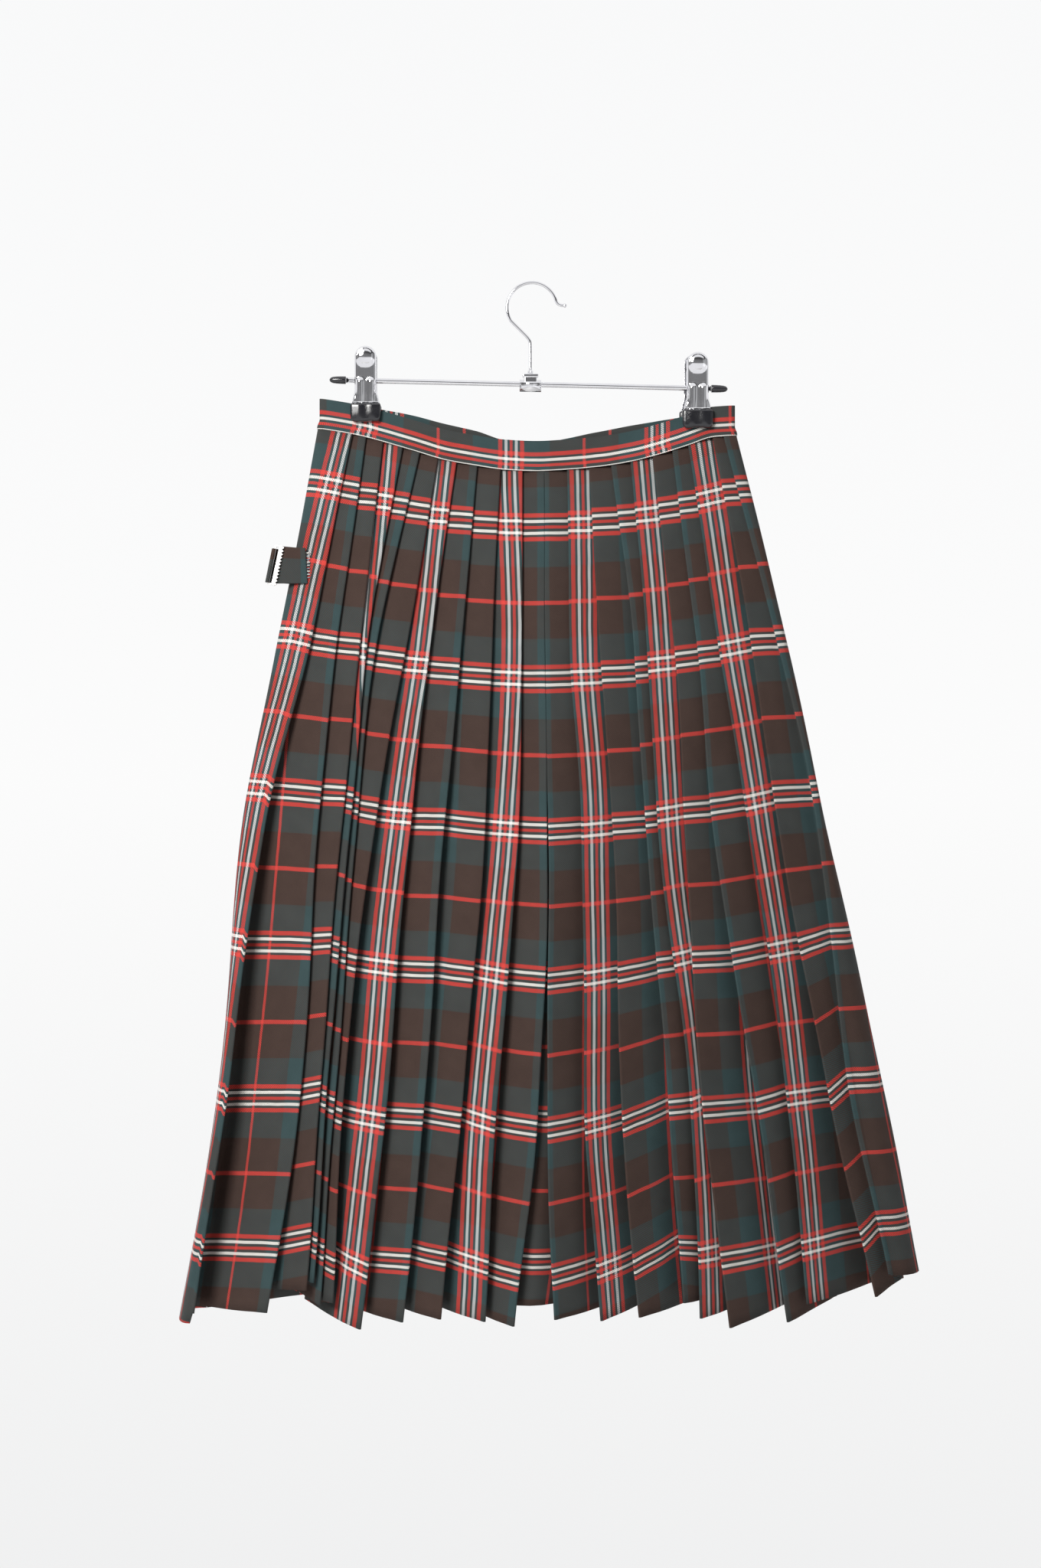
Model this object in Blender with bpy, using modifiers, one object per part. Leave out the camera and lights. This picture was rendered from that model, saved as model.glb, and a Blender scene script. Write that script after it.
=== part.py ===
"""A pleated tartan kilt that hangs flat from a wire clip hanger.

The pleated back faces -Y, the wrap-over aprons face +Y and +Z is up. The
origin is the inside top of the hanger's hook, where a rail holds it. Sizes
below are in millimetres; they become metres when a mesh is made.
"""

import math
from bisect import bisect_right
from collections import namedtuple

import bmesh
import bpy
from mathutils import Matrix, Vector

MM = 0.001

# Cloth
WALL = 1.0            # thickness of one layer of cloth
LAYER = 1.5           # closest pitch of two folded layers
SEAM_GAP = 0.3        # air left between pieces that are sewn together
PLEAT_PITCH = (3.5, 9.0)   # two folded layers, front to back, at the seam and the hem
SLOPE_BLEND = 12.0    # how evenly bunched pleats share out their depth
PLEAT_CLOTH = 81.0    # cloth taken up by one pleat: two thirds of a check
DEEPEST_TUCK = 32.0   # how far a pleat goes under its neighbour at the most
LEAST_TUCK = 5.0
SEAM_SLOPE = 0.17     # how steeply the pleats lean into each other at the seam
HEM_SLOPE = 0.62      # and at the hem, where they fall open
APRON_GAP = 2.7       # over apron to under apron, middle to middle

# Waistband
BAND_HEIGHT = 25.0
BAND_WALL = 2.0
BAND_FOOT = 1.8       # lowest stretch of a band, in line with the skirt below
BAND_PRESSED = 7.4    # height above the seam from which the bands lie pressed together
BAND_TOP_PITCH = 2.7  # bands pressed together at their top edge, middle to middle

# The skirt as a flattened tube: values at the seam and at the hem
TURN_WIDTH = (7.0, 30.0)     # how far in from the side the cloth turns round
TURN_CLEAR = 2.5             # and it ends this far outside the first pleat
HALF_DEPTH = (5.2, 34.0)     # half the distance from back to front at the sides
BACK_BULGE = (0.0, 20.0)     # more of it at the middle of the back
FRONT_BULGE = (0.0, 8.0)     # and of the front
MIDDLE_Y = 0.6               # middle of the flattened waist
TWIST = 0.12                 # at the hem the right side swings away from the eye

# Heights at which the outer edges of the folds are given
HIP_Z = -301.0
MID_Z = -444.0
LOW_Z = -665.0

# Each row is a fold's outer edge: x at five heights, the height of its hem
# corner, and how far the inner fold behind it is lifted at the hem
Fold = namedtuple("Fold", "name seam hip mid low hem hem_z lift")

SIDE_LEFT = Fold("side_left", -175, -208, -236, -255, -283, -838, 0)
LEFT_FOLDS = (
    Fold("left_1", -148, -183, -218, -246, -271, -830, 0),
    Fold("left_2", -137, -160, -174, -188, -212, -830, 6),
    Fold("left_3", -123, -142, -155, -172, -182, -812, 8),
    Fold("left_4", -107, -136, -149, -166, -176, -806, 6),
    Fold("left_5", -93, -128, -144, -160, -170, -824, 8),
    Fold("left_6", -78, -104, -128, -154, -160, -822, 6),
    Fold("left_7", -63, -85, -100, -118, -139, -843, 13),
    Fold("left_8", -46, -59, -73, -87, -105, -838, 11),
    Fold("left_9", -27, -34, -40, -57, -75, -836, 12),
    Fold("left_10", -9, -9, -13, -29, -39, -839, 11),
    Fold("left_11", 9, 10, 11, 4, -15, -843, 14),
)
RIGHT_FOLDS = (
    Fold("right_10", 158, 203, 234, 262, 293, -811, 4),
    Fold("right_9", 149, 182, 202, 244, 283, -829, 8),
    Fold("right_8", 129, 155, 178, 209, 226, -832, 8),
    Fold("right_7", 116, 136, 148, 184, 208, -846, 14),
    Fold("right_6", 100, 117, 126, 139, 161, -849, 14),
    Fold("right_5", 82, 95, 104, 129, 137, -841, 8),
    Fold("right_4", 66, 85, 94, 111, 124, -828, 4),
    Fold("right_3", 48, 57, 67, 73, 88, -838, 14),
    Fold("right_2", 30, 33, 41, 44, 57, -840, 9),
    Fold("right_1", 11, 12, 14, 14, 19, -838, 10),
)
SIDE_RIGHT = Fold("side_right", 167, 211, 242, 291, 322, -812, 0)

# The waist seam sags between the two clips; the far band hangs a little higher
Seam = namedtuple("Seam", "x back front_rise")
SEAM = (
    Seam(-176, -118.6, 0.0),
    Seam(-144, -124.0, 0.0),
    Seam(-97, -136.8, 4.0),
    Seam(-72, -144.3, 5.0),
    Seam(-47, -148.9, 4.0),
    Seam(-24, -152.3, 0.0),
    Seam(3, -153.6, -2.0),
    Seam(28, -152.4, 1.0),
    Seam(53, -150.2, 4.0),
    Seam(78, -146.4, 5.0),
    Seam(103, -140.2, 3.0),
    Seam(128, -132.4, 0.0),
    Seam(148, -125.8, 0.0),
    Seam(168, -124.4, 0.0),
)

# The front hem, hidden behind the back: height at shares of the way across
Hem = namedtuple("Hem", "share z")
FRONT_HEM = (Hem(0.0, -838), Hem(0.2, -828), Hem(0.5, -829), Hem(0.8, -819), Hem(1.0, -812))

# The back is made of six lengths of cloth, joined inside the pleats behind these folds
BACK_NAMES = ("side_left", "pleats_left_outer", "pleats_left_inner",
              "pleats_right_inner", "pleats_right_outer", "side_right")
LEFT_JOINS = (0, 5, 10)
RIGHT_JOINS = (4, 0)

# Parts of the way down, where the cloth is sectioned
ROWS = (0.0, 0.06, 0.14, 0.24, 0.36, 0.48, 0.6, 0.73, 0.87, 1.0)
FACE_STEPS = 4
RETURN_STEPS = 3
TURN_STEPS = 5
APRON_STEPS = 16
BAND_STEPS = 28
SIDE_SEAM = 6.0              # from the side turn to the seam of the pleats and an apron
APRON_FREE_EDGE = 16.0       # from the side turn to an apron's free edge

# Strap, buckle and tab on the left hip
STRAP_WALL = 1.6
STRAP_WIDTH = 29.0
STRAP_Z = -231.5             # middle of the strap
STRAP_LEAN = math.radians(11.5)
STRAP_START_X = -183.5       # at the slit
BUCKLE_X = -207.2            # middle of the toothed bar
BUCKLE_HEIGHT = 33.0
BUCKLE_BAR = 3.0
BUCKLE_SLOT = 1.8
BUCKLE_WIRE = 1.6
BUCKLE_SHEET = 1.2
BUCKLE_TEETH = 12
TOOTH_DEPTH = 1.2
TAB_WALL = 1.4
TAB_WIDTH = 27.4
TAB_REACH = 48.0             # how far the tab lies round to the front of the hip

# Hanger
ROD_RADIUS = 2.25
ROD_LEFT = Vector((-152.0, 0.0, -78.5))
ROD_RIGHT = Vector((146.4, 0.0, -85.4))
CAP_RADIUS = 3.2
CAP_LENGTH = 13.5
HOOK_WIRE = 1.4
HOOK_RADIUS = 20.4
HOOK_STEM_X = -1.3
HOOK_STEM_FOOT = -70.4
SWIVEL_RADIUS = 2.2
SWIVEL_HEIGHT = 2.4
BRACKET_PLATE = (13.2, 8.0, 3.2)
BRACKET_LENGTH = 17.6
BRACKET_RADIUS = 4.4
SLIDE_FIT = 0.3
CLIP_X = (-136.0, 135.4)
CLIP_FOOT = (-113.2, -118.2)      # lowest point of each clip
CLIP_BACK_SHIFT = (0.0, -2.0)     # the right clip stands a little askew
CLIP_HEIGHT = 61.4
CLIP_RADIUS = 8.5
CLIP_FLARE = 10.6
CLIP_SHEET = 1.2
CLIP_TILT = math.radians(4.0)
GRIP = (25.0, 5.0, 15.3)
GRIP_ROUND = 1.6
SPRING_RADIUS = 5.6
SPRING_LENGTH = 13.0
RIB_X = 4.4
RIB_RADIUS = 2.35
RIB_FOOT = 19.0
RIB_TOP = 33.0
DIMPLE_RADIUS = 6.4
DIMPLE_RISE = 1.3


def lerp(low, high, t):
    """A value t of the way from low to high."""
    return low + (high - low) * t


def smooth_line(knots, values, at):
    """A smooth line through the values that never overshoots them."""
    last = len(knots) - 1
    rises = [(values[i + 1] - values[i]) / (knots[i + 1] - knots[i]) for i in range(last)]

    def slope(i):
        if i == 0:
            return rises[0]
        if i == last:
            return rises[-1]
        before, after = rises[i - 1], rises[i]
        if before * after <= 0.0:
            return 0.0
        return 2.0 * before * after / (before + after)

    if at <= knots[0]:
        return values[0] + rises[0] * (at - knots[0])
    if at >= knots[-1]:
        return values[-1] + rises[-1] * (at - knots[-1])
    i = min(bisect_right(knots, at) - 1, last - 1)
    span = knots[i + 1] - knots[i]
    s = (at - knots[i]) / span
    keep = values[i] * (1 + 2 * s) * (1 - s) ** 2 + values[i + 1] * s * s * (3 - 2 * s)
    bend = slope(i) * s * (1 - s) ** 2 - slope(i + 1) * s * s * (1 - s)
    return keep + bend * span


def ramp(u):
    """Rises softly from nothing at minus one to one at plus one."""
    v = min(1.0, max(0.0, (u + 1.0) / 2))
    return v * v * (3.0 - 2.0 * v)


def lesser(a, b):
    """The lesser of two lengths, blended where they are alike."""
    apart = a - b
    return (a + b - math.sqrt(apart * apart + 4.0)) / 2


def seam_height(x, front=False):
    """Height of the waist seam at x."""
    knots = [row.x for row in SEAM]
    height = smooth_line(knots, [row.back for row in SEAM], x)
    if front:
        height += smooth_line(knots, [row.front_rise for row in SEAM], x)
    return height


def edge_x(fold, t):
    """Where a fold's outer edge is, t of the way from the seam to the hem."""
    top = seam_height(fold.seam)
    z = lerp(top, fold.hem_z, t)
    knots = (fold.hem_z, LOW_Z, MID_Z, HIP_Z, top)
    return smooth_line(knots, (fold.hem, fold.low, fold.mid, fold.hip, fold.seam), z)


class Outline:
    """The flattened tube of the skirt at one height."""

    def __init__(self, t):
        self.t = t
        self.left = edge_x(SIDE_LEFT, t)
        self.right = edge_x(SIDE_RIGHT, t)
        turn = lerp(*TURN_WIDTH, t)
        self.left_turn = lesser(turn, edge_x(LEFT_FOLDS[0], t) - self.left - TURN_CLEAR)
        self.right_turn = lesser(turn, self.right - edge_x(RIGHT_FOLDS[0], t) - TURN_CLEAR)
        self.back_left = self.left + self.left_turn
        self.back_right = self.right - self.right_turn
        self.depth = lerp(*HALF_DEPTH, t)
        self.back_bulge = lerp(*BACK_BULGE, t)
        self.front_bulge = lerp(*FRONT_BULGE, t)

    def middle_y(self, x):
        return lerp(MIDDLE_Y, 0.0, self.t) + TWIST * self.t * x

    def crown(self, x):
        """One at the middle of the skirt, nothing where the sides turn."""
        middle = (self.back_left + self.back_right) / 2
        reach = (self.back_right - self.back_left) / 2
        return max(0.0, 1.0 - ((x - middle) / reach) ** 2)

    def back(self, x):
        return self.middle_y(x) - self.depth - self.back_bulge * self.crown(x)

    def front(self, x):
        return self.middle_y(x) + self.depth + self.front_bulge * self.crown(x)

    def side(self, sign, angle, inset=0.0):
        """A point round one side; angle 0 is the back and pi the front."""
        edge, start = (self.left, self.back_left) if sign < 0 else (self.right, self.back_right)
        x = lerp(start, edge, math.sin(angle))
        back = self.back(start)
        front = self.front(start) - inset
        y = (back + front) / 2 - (front - back) / 2 * math.cos(angle)
        return x, y


def pleat_plan(folds, side, outline, sign):
    """One half's pleats from the side to the middle, as (x, y, hem height, lift).

    Every pleat lies under the one beside it that is nearer the side. The
    depth of a layer behind the outline grows with the folds it lies under.
    """
    t = outline.t
    edges = [-sign * edge_x(fold, t) for fold in folds]
    side_x = -sign * (outline.left if sign < 0 else outline.right)
    turn = outline.left_turn if sign < 0 else outline.right_turn
    lean = lerp(SEAM_SLOPE, HEM_SLOPE, t)
    gaps = [b - a for a, b in zip(edges, edges[1:])]
    gaps.append(gaps[-1])
    steps = [max(lerp(*PLEAT_PITCH, t), lean * gap) for gap in gaps]
    depths = [0.0]
    for step in steps:
        depths.append(depths[-1] + step)
    start = side_x + turn

    def forward(x):
        total = 0.0
        for edge, gap, step in zip(edges, gaps, steps):
            reach = SLOPE_BLEND + gap / 2
            middle = edge + gap / 2
            total += step * (ramp((x - middle) / reach) - ramp((start - middle) / reach))
        return total

    def place(x, behind, hem, lift):
        real_x = -sign * x
        return real_x, outline.back(real_x) + behind, hem, lift

    points = []
    for i in range(FACE_STEPS):
        x = lerp(start, edges[0], i / FACE_STEPS)
        hem = lerp(side.hem_z, folds[0].hem_z, i / FACE_STEPS)
        points.append(place(x, -forward(x), hem, 0.0))
    for k, fold in enumerate(folds):
        edge = edges[k]
        slope = forward(edge) - forward(edge - 1.0)
        size = math.hypot(1.0, slope)
        hem = fold.hem_z
        points.append(place(edge, depths[k] - forward(edge), hem, 0.0))

        follower = folds[k + 1].hem_z if k + 1 < len(folds) else hem
        inner_hem = (hem + follower) / 2
        spare = (PLEAT_CLOTH / math.hypot(1.0, lean) - gaps[k]) / 2
        tuck = min(DEEPEST_TUCK, max(LEAST_TUCK, spare))
        room = edge - side_x - 0.55 * turn - 1.5
        tuck = min(tuck, max(LEAST_TUCK * 0.6, room))
        deepest = outline.front(0.0) - outline.back(0.0) - APRON_GAP - 2 * LAYER
        while tuck > LEAST_TUCK and depths[k + 1] - forward(edge - tuck) > deepest:
            tuck -= 0.5
        near = LAYER * size
        far = steps[k] - near
        turn_x = LAYER * slope / size
        for i in range(RETURN_STEPS + 1):
            s = i / RETURN_STEPS
            x = lerp(edge + turn_x, edge - tuck + turn_x, s)
            behind = depths[k] - forward(x) + lerp(near, far, s)
            points.append(place(x, behind, lerp(hem, inner_hem, s), fold.lift * s))
        begin = edge - tuck
        if k + 1 == len(folds):
            points.append(place(begin, depths[k + 1] - forward(begin), inner_hem, fold.lift))
            break
        for i in range(FACE_STEPS):
            s = i / FACE_STEPS
            x = lerp(begin, edges[k + 1], s)
            behind = depths[k + 1] - forward(x)
            points.append(place(x, behind, lerp(inner_hem, follower, s), fold.lift * (1 - s)))
    return points


def half_plan(folds, side, outline, sign):
    """One half of the back at one height, from the front of the side to the middle."""
    inset = 0.0 if sign < 0 else APRON_GAP
    seam_x = outline.back_left + SIDE_SEAM if sign < 0 else outline.back_right - SIDE_SEAM
    turn = [(seam_x, outline.front(seam_x) - inset, side.hem_z, 0.0)]
    for i in range(TURN_STEPS):
        angle = math.pi * (1.0 - i / TURN_STEPS)
        x, y = outline.side(sign, angle, inset)
        turn.append((x, y, side.hem_z, 0.0))
    return turn + pleat_plan(folds, side, outline, sign)


def back_plan(t):
    """The whole pleated back at one height, from the front of one side to the other."""
    outline = Outline(t)
    left = half_plan(LEFT_FOLDS, SIDE_LEFT, outline, -1)
    right = half_plan(RIGHT_FOLDS, SIDE_RIGHT, outline, 1)
    # The underlay of the middle pleat joins the two halves
    middle_x = (left[-1][0] + right[-1][0]) / 2
    behind = max(lerp(*PLEAT_PITCH, t), lerp(SEAM_SLOPE, HEM_SLOPE, t) * 20.0)
    nearest = outline.back(middle_x) + behind
    underlay = (middle_x, nearest, (left[-1][2] + right[-1][2]) / 2, 8.0)
    return left + [underlay] + right[::-1]


def stretch_starts(left_count, right_count):
    """Columns at which the back's lengths of cloth begin, counted from the left.

    One length ends at the inner fold behind an outer fold and the next one
    begins there, so that every join is out of sight.
    """
    first = 1 + TURN_STEPS + FACE_STEPS
    per_fold = 2 + RETURN_STEPS + FACE_STEPS

    def after(k):
        return first + k * per_fold + RETURN_STEPS + 2

    starts = [0] + [after(k) for k in LEFT_JOINS]
    total = left_count + 1 + right_count
    return starts + [total - after(k) for k in RIGHT_JOINS] + [total]


def back_stretches():
    """Every length of the pleated back, as sections from the seam to the hem."""
    columns = back_rows()
    starts = stretch_starts(len(half_plan(LEFT_FOLDS, SIDE_LEFT, Outline(0.0), -1)),
                            len(half_plan(RIGHT_FOLDS, SIDE_RIGHT, Outline(0.0), 1)))
    return {name: [row[begin:end] for row in columns]
            for name, begin, end in zip(BACK_NAMES, starts, starts[1:])}


def back_rows():
    """Sections of the pleated back from the seam to the hem."""
    seam = back_plan(0.0)
    rows = []
    for t in ROWS:
        row = []
        for (x0, _, _, _), (x, y, hem, lift) in zip(seam, back_plan(t)):
            z = lerp(seam_height(x0), hem + lift * t, t)
            row.append((x, y, z))
        rows.append(row)
    return rows


def apron_span(outline, over):
    """Where an apron begins and ends at the height of an outline."""
    left = outline.back_left + SIDE_SEAM
    right = outline.back_right - SIDE_SEAM
    if over:
        return left + SEAM_GAP, right - APRON_FREE_EDGE
    return left + APRON_FREE_EDGE, right - SEAM_GAP


def apron_width(outline, name):
    """Where one width of cloth in an apron begins and ends; the under apron has two."""
    begin, end = apron_span(outline, name == "over_apron")
    join = (begin + end) / 2
    if name == "under_apron_left":
        return begin, join - SEAM_GAP / 2
    if name == "under_apron_right":
        return join + SEAM_GAP / 2, end
    return begin, end


def apron_rows(name):
    """Sections of one width of an apron: the over apron starts left, the under one right."""
    over = name == "over_apron"
    steps = APRON_STEPS if over else APRON_STEPS // 2
    shares = [row.share for row in FRONT_HEM]
    heights = [row.z for row in FRONT_HEM]
    top = Outline(0.0)
    rows = []
    for t in ROWS:
        outline = Outline(t)
        left = outline.back_left + SIDE_SEAM
        right = outline.back_right - SIDE_SEAM
        begin, end = apron_width(outline, name)
        row = []
        for i in range(steps + 1):
            x = lerp(begin, end, i / steps)
            share = (x - left) / (right - left)
            x0 = lerp(top.back_left + SIDE_SEAM, top.back_right - SIDE_SEAM, share)
            y = outline.front(x) - (0.0 if over else APRON_GAP)
            hem = smooth_line(shares, heights, share)
            row.append((x, y, lerp(seam_height(x0, front=True), hem, t)))
        rows.append(row)
    return rows


def band_rows(name):
    """Lines along one piece of the waistband from its foot to its top edge."""
    outline = Outline(0.0)
    rise_steps = ((SEAM_GAP, 0.0), (BAND_FOOT, 0.0), (BAND_PRESSED, 1.0), (BAND_HEIGHT, 1.0))
    left = outline.back_left
    right = outline.back_right
    plan = []
    if name == "waistband_back":
        plan.append((left + SIDE_SEAM, outline.front(left + SIDE_SEAM), 1.0))
        for i in range(TURN_STEPS):
            angle = math.pi * (1.0 - i / TURN_STEPS)
            x, y = outline.side(-1, angle)
            plan.append((x, y, (1.0 - math.cos(angle)) / 2 * 2.0 - 1.0))
        for i in range(BAND_STEPS + 1):
            x = lerp(left, right, i / BAND_STEPS)
            plan.append((x, outline.back(x), -1.0))
        for i in range(1, TURN_STEPS + 1):
            angle = math.pi * i / TURN_STEPS
            x, y = outline.side(1, angle, APRON_GAP)
            plan.append((x, y, 0.5 * (1.0 - math.cos(angle)) - 1.0))
        x = right - SIDE_SEAM
        plan.append((x, outline.front(x) - APRON_GAP, 0.0))
    else:
        over = name == "waistband_over"
        begin, end = apron_span(outline, over)
        for i in range(APRON_STEPS + 1):
            x = lerp(begin, end, i / APRON_STEPS)
            y = outline.front(x) - (0.0 if over else APRON_GAP)
            plan.append((x, y, 1.0 if over else 0.0))
    rows = []
    for rise, pinch in rise_steps:
        row = []
        for x, y, layer in plan:
            z = seam_height(x, front=name != "waistband_back") + rise
            top_y = BAND_TOP_PITCH * layer
            row.append((x - 0.012 * x * pinch, lerp(y, top_y, pinch), z))
        rows.append(row)
    return rows


def material(name, colour, roughness, metallic=0.0):
    """A plain finish for one kind of piece."""
    made = bpy.data.materials.new(name)
    made.use_nodes = True
    shader = made.node_tree.nodes["Principled BSDF"]
    shader.inputs["Base Color"].default_value = (*colour, 1.0)
    shader.inputs["Roughness"].default_value = roughness
    shader.inputs["Metallic"].default_value = metallic
    return made


def add_object(name, data, finish, collection):
    """Puts mesh or curve data into the part."""
    made = bpy.data.objects.new(name, data)
    if finish:
        made.data.materials.append(finish)
    collection.objects.link(made)
    return made


def sheet(name, rows, wall, finish, collection):
    """A wall of cloth through rows of points, all rows with the same count."""
    width = len(rows[0])
    verts = [Vector(point) * MM for row in rows for point in row]
    faces = []
    for r in range(len(rows) - 1):
        for i in range(width - 1):
            corner = r * width + i
            faces.append((corner, corner + width, corner + width + 1, corner + 1))
    mesh = bpy.data.meshes.new(name)
    mesh.from_pydata(verts, [], faces)
    made = add_object(name, mesh, finish, collection)
    thick = made.modifiers.new("wall", "SOLIDIFY")
    thick.thickness = wall * MM
    thick.offset = 0.0
    thick.use_even_offset = True
    thick.use_quality_normals = True
    return made


def wire(name, points, radius, finish, collection, sides=2):
    """A round wire through the points, with closed ends."""
    curve = bpy.data.curves.new(name, "CURVE")
    curve.dimensions = "3D"
    curve.bevel_depth = radius * MM
    curve.bevel_resolution = sides
    curve.use_fill_caps = True
    spline = curve.splines.new("POLY")
    spline.points.add(len(points) - 1)
    for control, point in zip(spline.points, points):
        control.co = (*(Vector(point) * MM), 1.0)
    return add_object(name, curve, finish, collection)


def curve_to_mesh(source, collection):
    """Makes a curve object a mesh whose caps are welded."""
    bpy.context.view_layer.update()
    graph = bpy.context.evaluated_depsgraph_get()
    mesh = bpy.data.meshes.new_from_object(source.evaluated_get(graph))
    work = bmesh.new()
    work.from_mesh(mesh)
    bmesh.ops.remove_doubles(work, verts=work.verts, dist=0.00001)
    bmesh.ops.recalc_face_normals(work, faces=work.faces)
    work.to_mesh(mesh)
    work.free()
    made = bpy.data.objects.new(source.name + "_mesh", mesh)
    made.matrix_world = source.matrix_world
    collection.objects.link(made)
    name = source.name
    bpy.data.objects.remove(source)
    made.name = name
    return made


def flat_shape(name, outline, thickness, finish, collection):
    """A sheet cut to an outline of (across, up), standing in the XZ plane."""
    curve = bpy.data.curves.new(name, "CURVE")
    curve.dimensions = "2D"
    curve.fill_mode = "BOTH"
    curve.extrude = thickness * MM / 2
    spline = curve.splines.new("POLY")
    spline.points.add(len(outline) - 1)
    spline.use_cyclic_u = True
    for control, (across, up) in zip(spline.points, outline):
        control.co = (across * MM, up * MM, 0.0, 1.0)
    made = add_object(name, curve, finish, collection)
    made.rotation_euler = (math.pi / 2, 0.0, 0.0)
    return curve_to_mesh(made, collection)


def apply_turn(made):
    """Moves an object's rotation and place into its mesh."""
    bpy.context.view_layer.update()
    made.data.transform(made.matrix_world)
    made.matrix_world = Matrix.Identity(4)


def round_bar(name, start, end, radius, sides, finish, collection, cap=0.0):
    """A cylinder between two points; cap rounds its far end."""
    start, end = Vector(start) * MM, Vector(end) * MM
    length = (end - start).length
    mesh = bpy.data.meshes.new(name)
    work = bmesh.new()
    bmesh.ops.create_cone(work, cap_ends=True, segments=sides, radius1=radius * MM,
                          radius2=radius * MM, depth=length)
    work.to_mesh(mesh)
    work.free()
    made = add_object(name, mesh, finish, collection)
    made.location = (start + end) / 2
    made.rotation_euler = (end - start).to_track_quat("Z", "Y").to_euler()
    if cap:
        edge = made.modifiers.new("rounded", "BEVEL")
        edge.width = cap * MM
        edge.segments = 3
        edge.limit_method = "ANGLE"
    return made


def block(name, size, centre, rounding, finish, collection):
    """A box of a size in millimetres about its centre, with rounded edges."""
    mesh = bpy.data.meshes.new(name)
    work = bmesh.new()
    bmesh.ops.create_cube(work, size=1.0)
    bmesh.ops.scale(work, vec=Vector(size) * MM, verts=work.verts)
    work.to_mesh(mesh)
    work.free()
    made = add_object(name, mesh, finish, collection)
    made.location = Vector(centre) * MM
    if rounding:
        edge = made.modifiers.new("rounded", "BEVEL")
        edge.width = rounding * MM
        edge.segments = 2
    return made


def combine(made, tool, operation, cutters):
    """Joins or cuts a mesh with another one, which is kept as a hidden tool."""
    step = made.modifiers.new(tool.name, "BOOLEAN")
    step.operation = operation
    step.object = tool
    for holder in tool.users_collection:
        holder.objects.unlink(tool)
    cutters.objects.link(tool)
    tool.hide_render = True
    tool.display_type = "WIRE"


def rod_point(x):
    """Middle of the hanger's rod at x."""
    share = (x - ROD_LEFT.x) / (ROD_RIGHT.x - ROD_LEFT.x)
    return ROD_LEFT.lerp(ROD_RIGHT, share)


def make_hook(steel, collection):
    """The swivel hook: stem, slanted shoulder, arc over the rail and ball tip."""
    centre_z = HOOK_WIRE - HOOK_RADIUS
    route = [(HOOK_STEM_X, 0, HOOK_STEM_FOOT), (HOOK_STEM_X, 0, -50.0), (-1.7, 0, -47.0)]
    route.append((-3.4, 0, -43.8))
    arc_start, arc_end, arc_steps = math.radians(212), math.radians(14), 16
    for i in range(arc_steps + 1):
        angle = lerp(arc_start, arc_end, i / arc_steps)
        route.append((HOOK_RADIUS * math.cos(angle), 0, centre_z + HOOK_RADIUS * math.sin(angle)))
    route += [(22.0, 0, -16.4), (24.6, 0, -17.4)]
    hook = curve_to_mesh(wire("hook", route, HOOK_WIRE, steel, collection), collection)
    return hook


def make_hanger(steel, vinyl, collection, cutters):
    """Hook, swivel, bracket, rod and end caps."""
    make_hook(steel, collection)
    rod_middle = rod_point(HOOK_STEM_X)
    lean = ROD_RIGHT - ROD_LEFT
    lean.normalize()
    swivel_foot = HOOK_STEM_FOOT - SLIDE_FIT
    round_bar("hook_swivel", (HOOK_STEM_X, 0, swivel_foot - SWIVEL_HEIGHT),
              (HOOK_STEM_X, 0, swivel_foot), SWIVEL_RADIUS, 16, steel, collection)
    plate_top = swivel_foot - SWIVEL_HEIGHT - SLIDE_FIT
    plate_height = BRACKET_PLATE[2]
    bracket = block("rod_bracket", BRACKET_PLATE, (HOOK_STEM_X, 0, plate_top - plate_height / 2),
                    0.0, steel, collection)
    neck_foot = rod_middle.z
    neck_top = plate_top - plate_height / 2
    neck = block("bracket_neck", (9.0, 6.0, neck_top - neck_foot),
                 (HOOK_STEM_X, 0, (neck_top + neck_foot) / 2), 0.0, None, collection)
    half = lean * BRACKET_LENGTH / 2
    sleeve = round_bar("bracket_sleeve", rod_middle - half, rod_middle + half, BRACKET_RADIUS,
                       16, None, collection)
    channel = round_bar("bracket_channel", rod_middle - half * 1.5, rod_middle + half * 1.5,
                        ROD_RADIUS + SLIDE_FIT, 16, None, collection)
    combine(bracket, neck, "UNION", cutters)
    combine(bracket, sleeve, "UNION", cutters)
    combine(bracket, channel, "DIFFERENCE", cutters)
    round_bar("rod", ROD_LEFT, ROD_RIGHT, ROD_RADIUS, 16, steel, collection)
    for name, end, sign in (("end_cap_left", ROD_LEFT, -1), ("end_cap_right", ROD_RIGHT, 1)):
        begin = end + lean * sign * SLIDE_FIT
        round_bar(name, begin, begin + lean * sign * CAP_LENGTH, CAP_RADIUS, 16, vinyl,
                  collection, cap=2.2)


def plate_outline():
    """Half round at the top, straight sides and a flare down to the grip."""
    foot = GRIP[2] + SLIDE_FIT
    shoulder = CLIP_HEIGHT - CLIP_RADIUS
    outline = [(-CLIP_FLARE, foot), (CLIP_FLARE, foot), (CLIP_RADIUS, foot + 9.0)]
    arc_steps = 10
    for i in range(arc_steps + 1):
        angle = math.pi * i / arc_steps
        outline.append((CLIP_RADIUS * math.cos(angle), shoulder + CLIP_RADIUS * math.sin(angle)))
    outline.append((-CLIP_RADIUS, foot + 9.0))
    return outline


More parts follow.
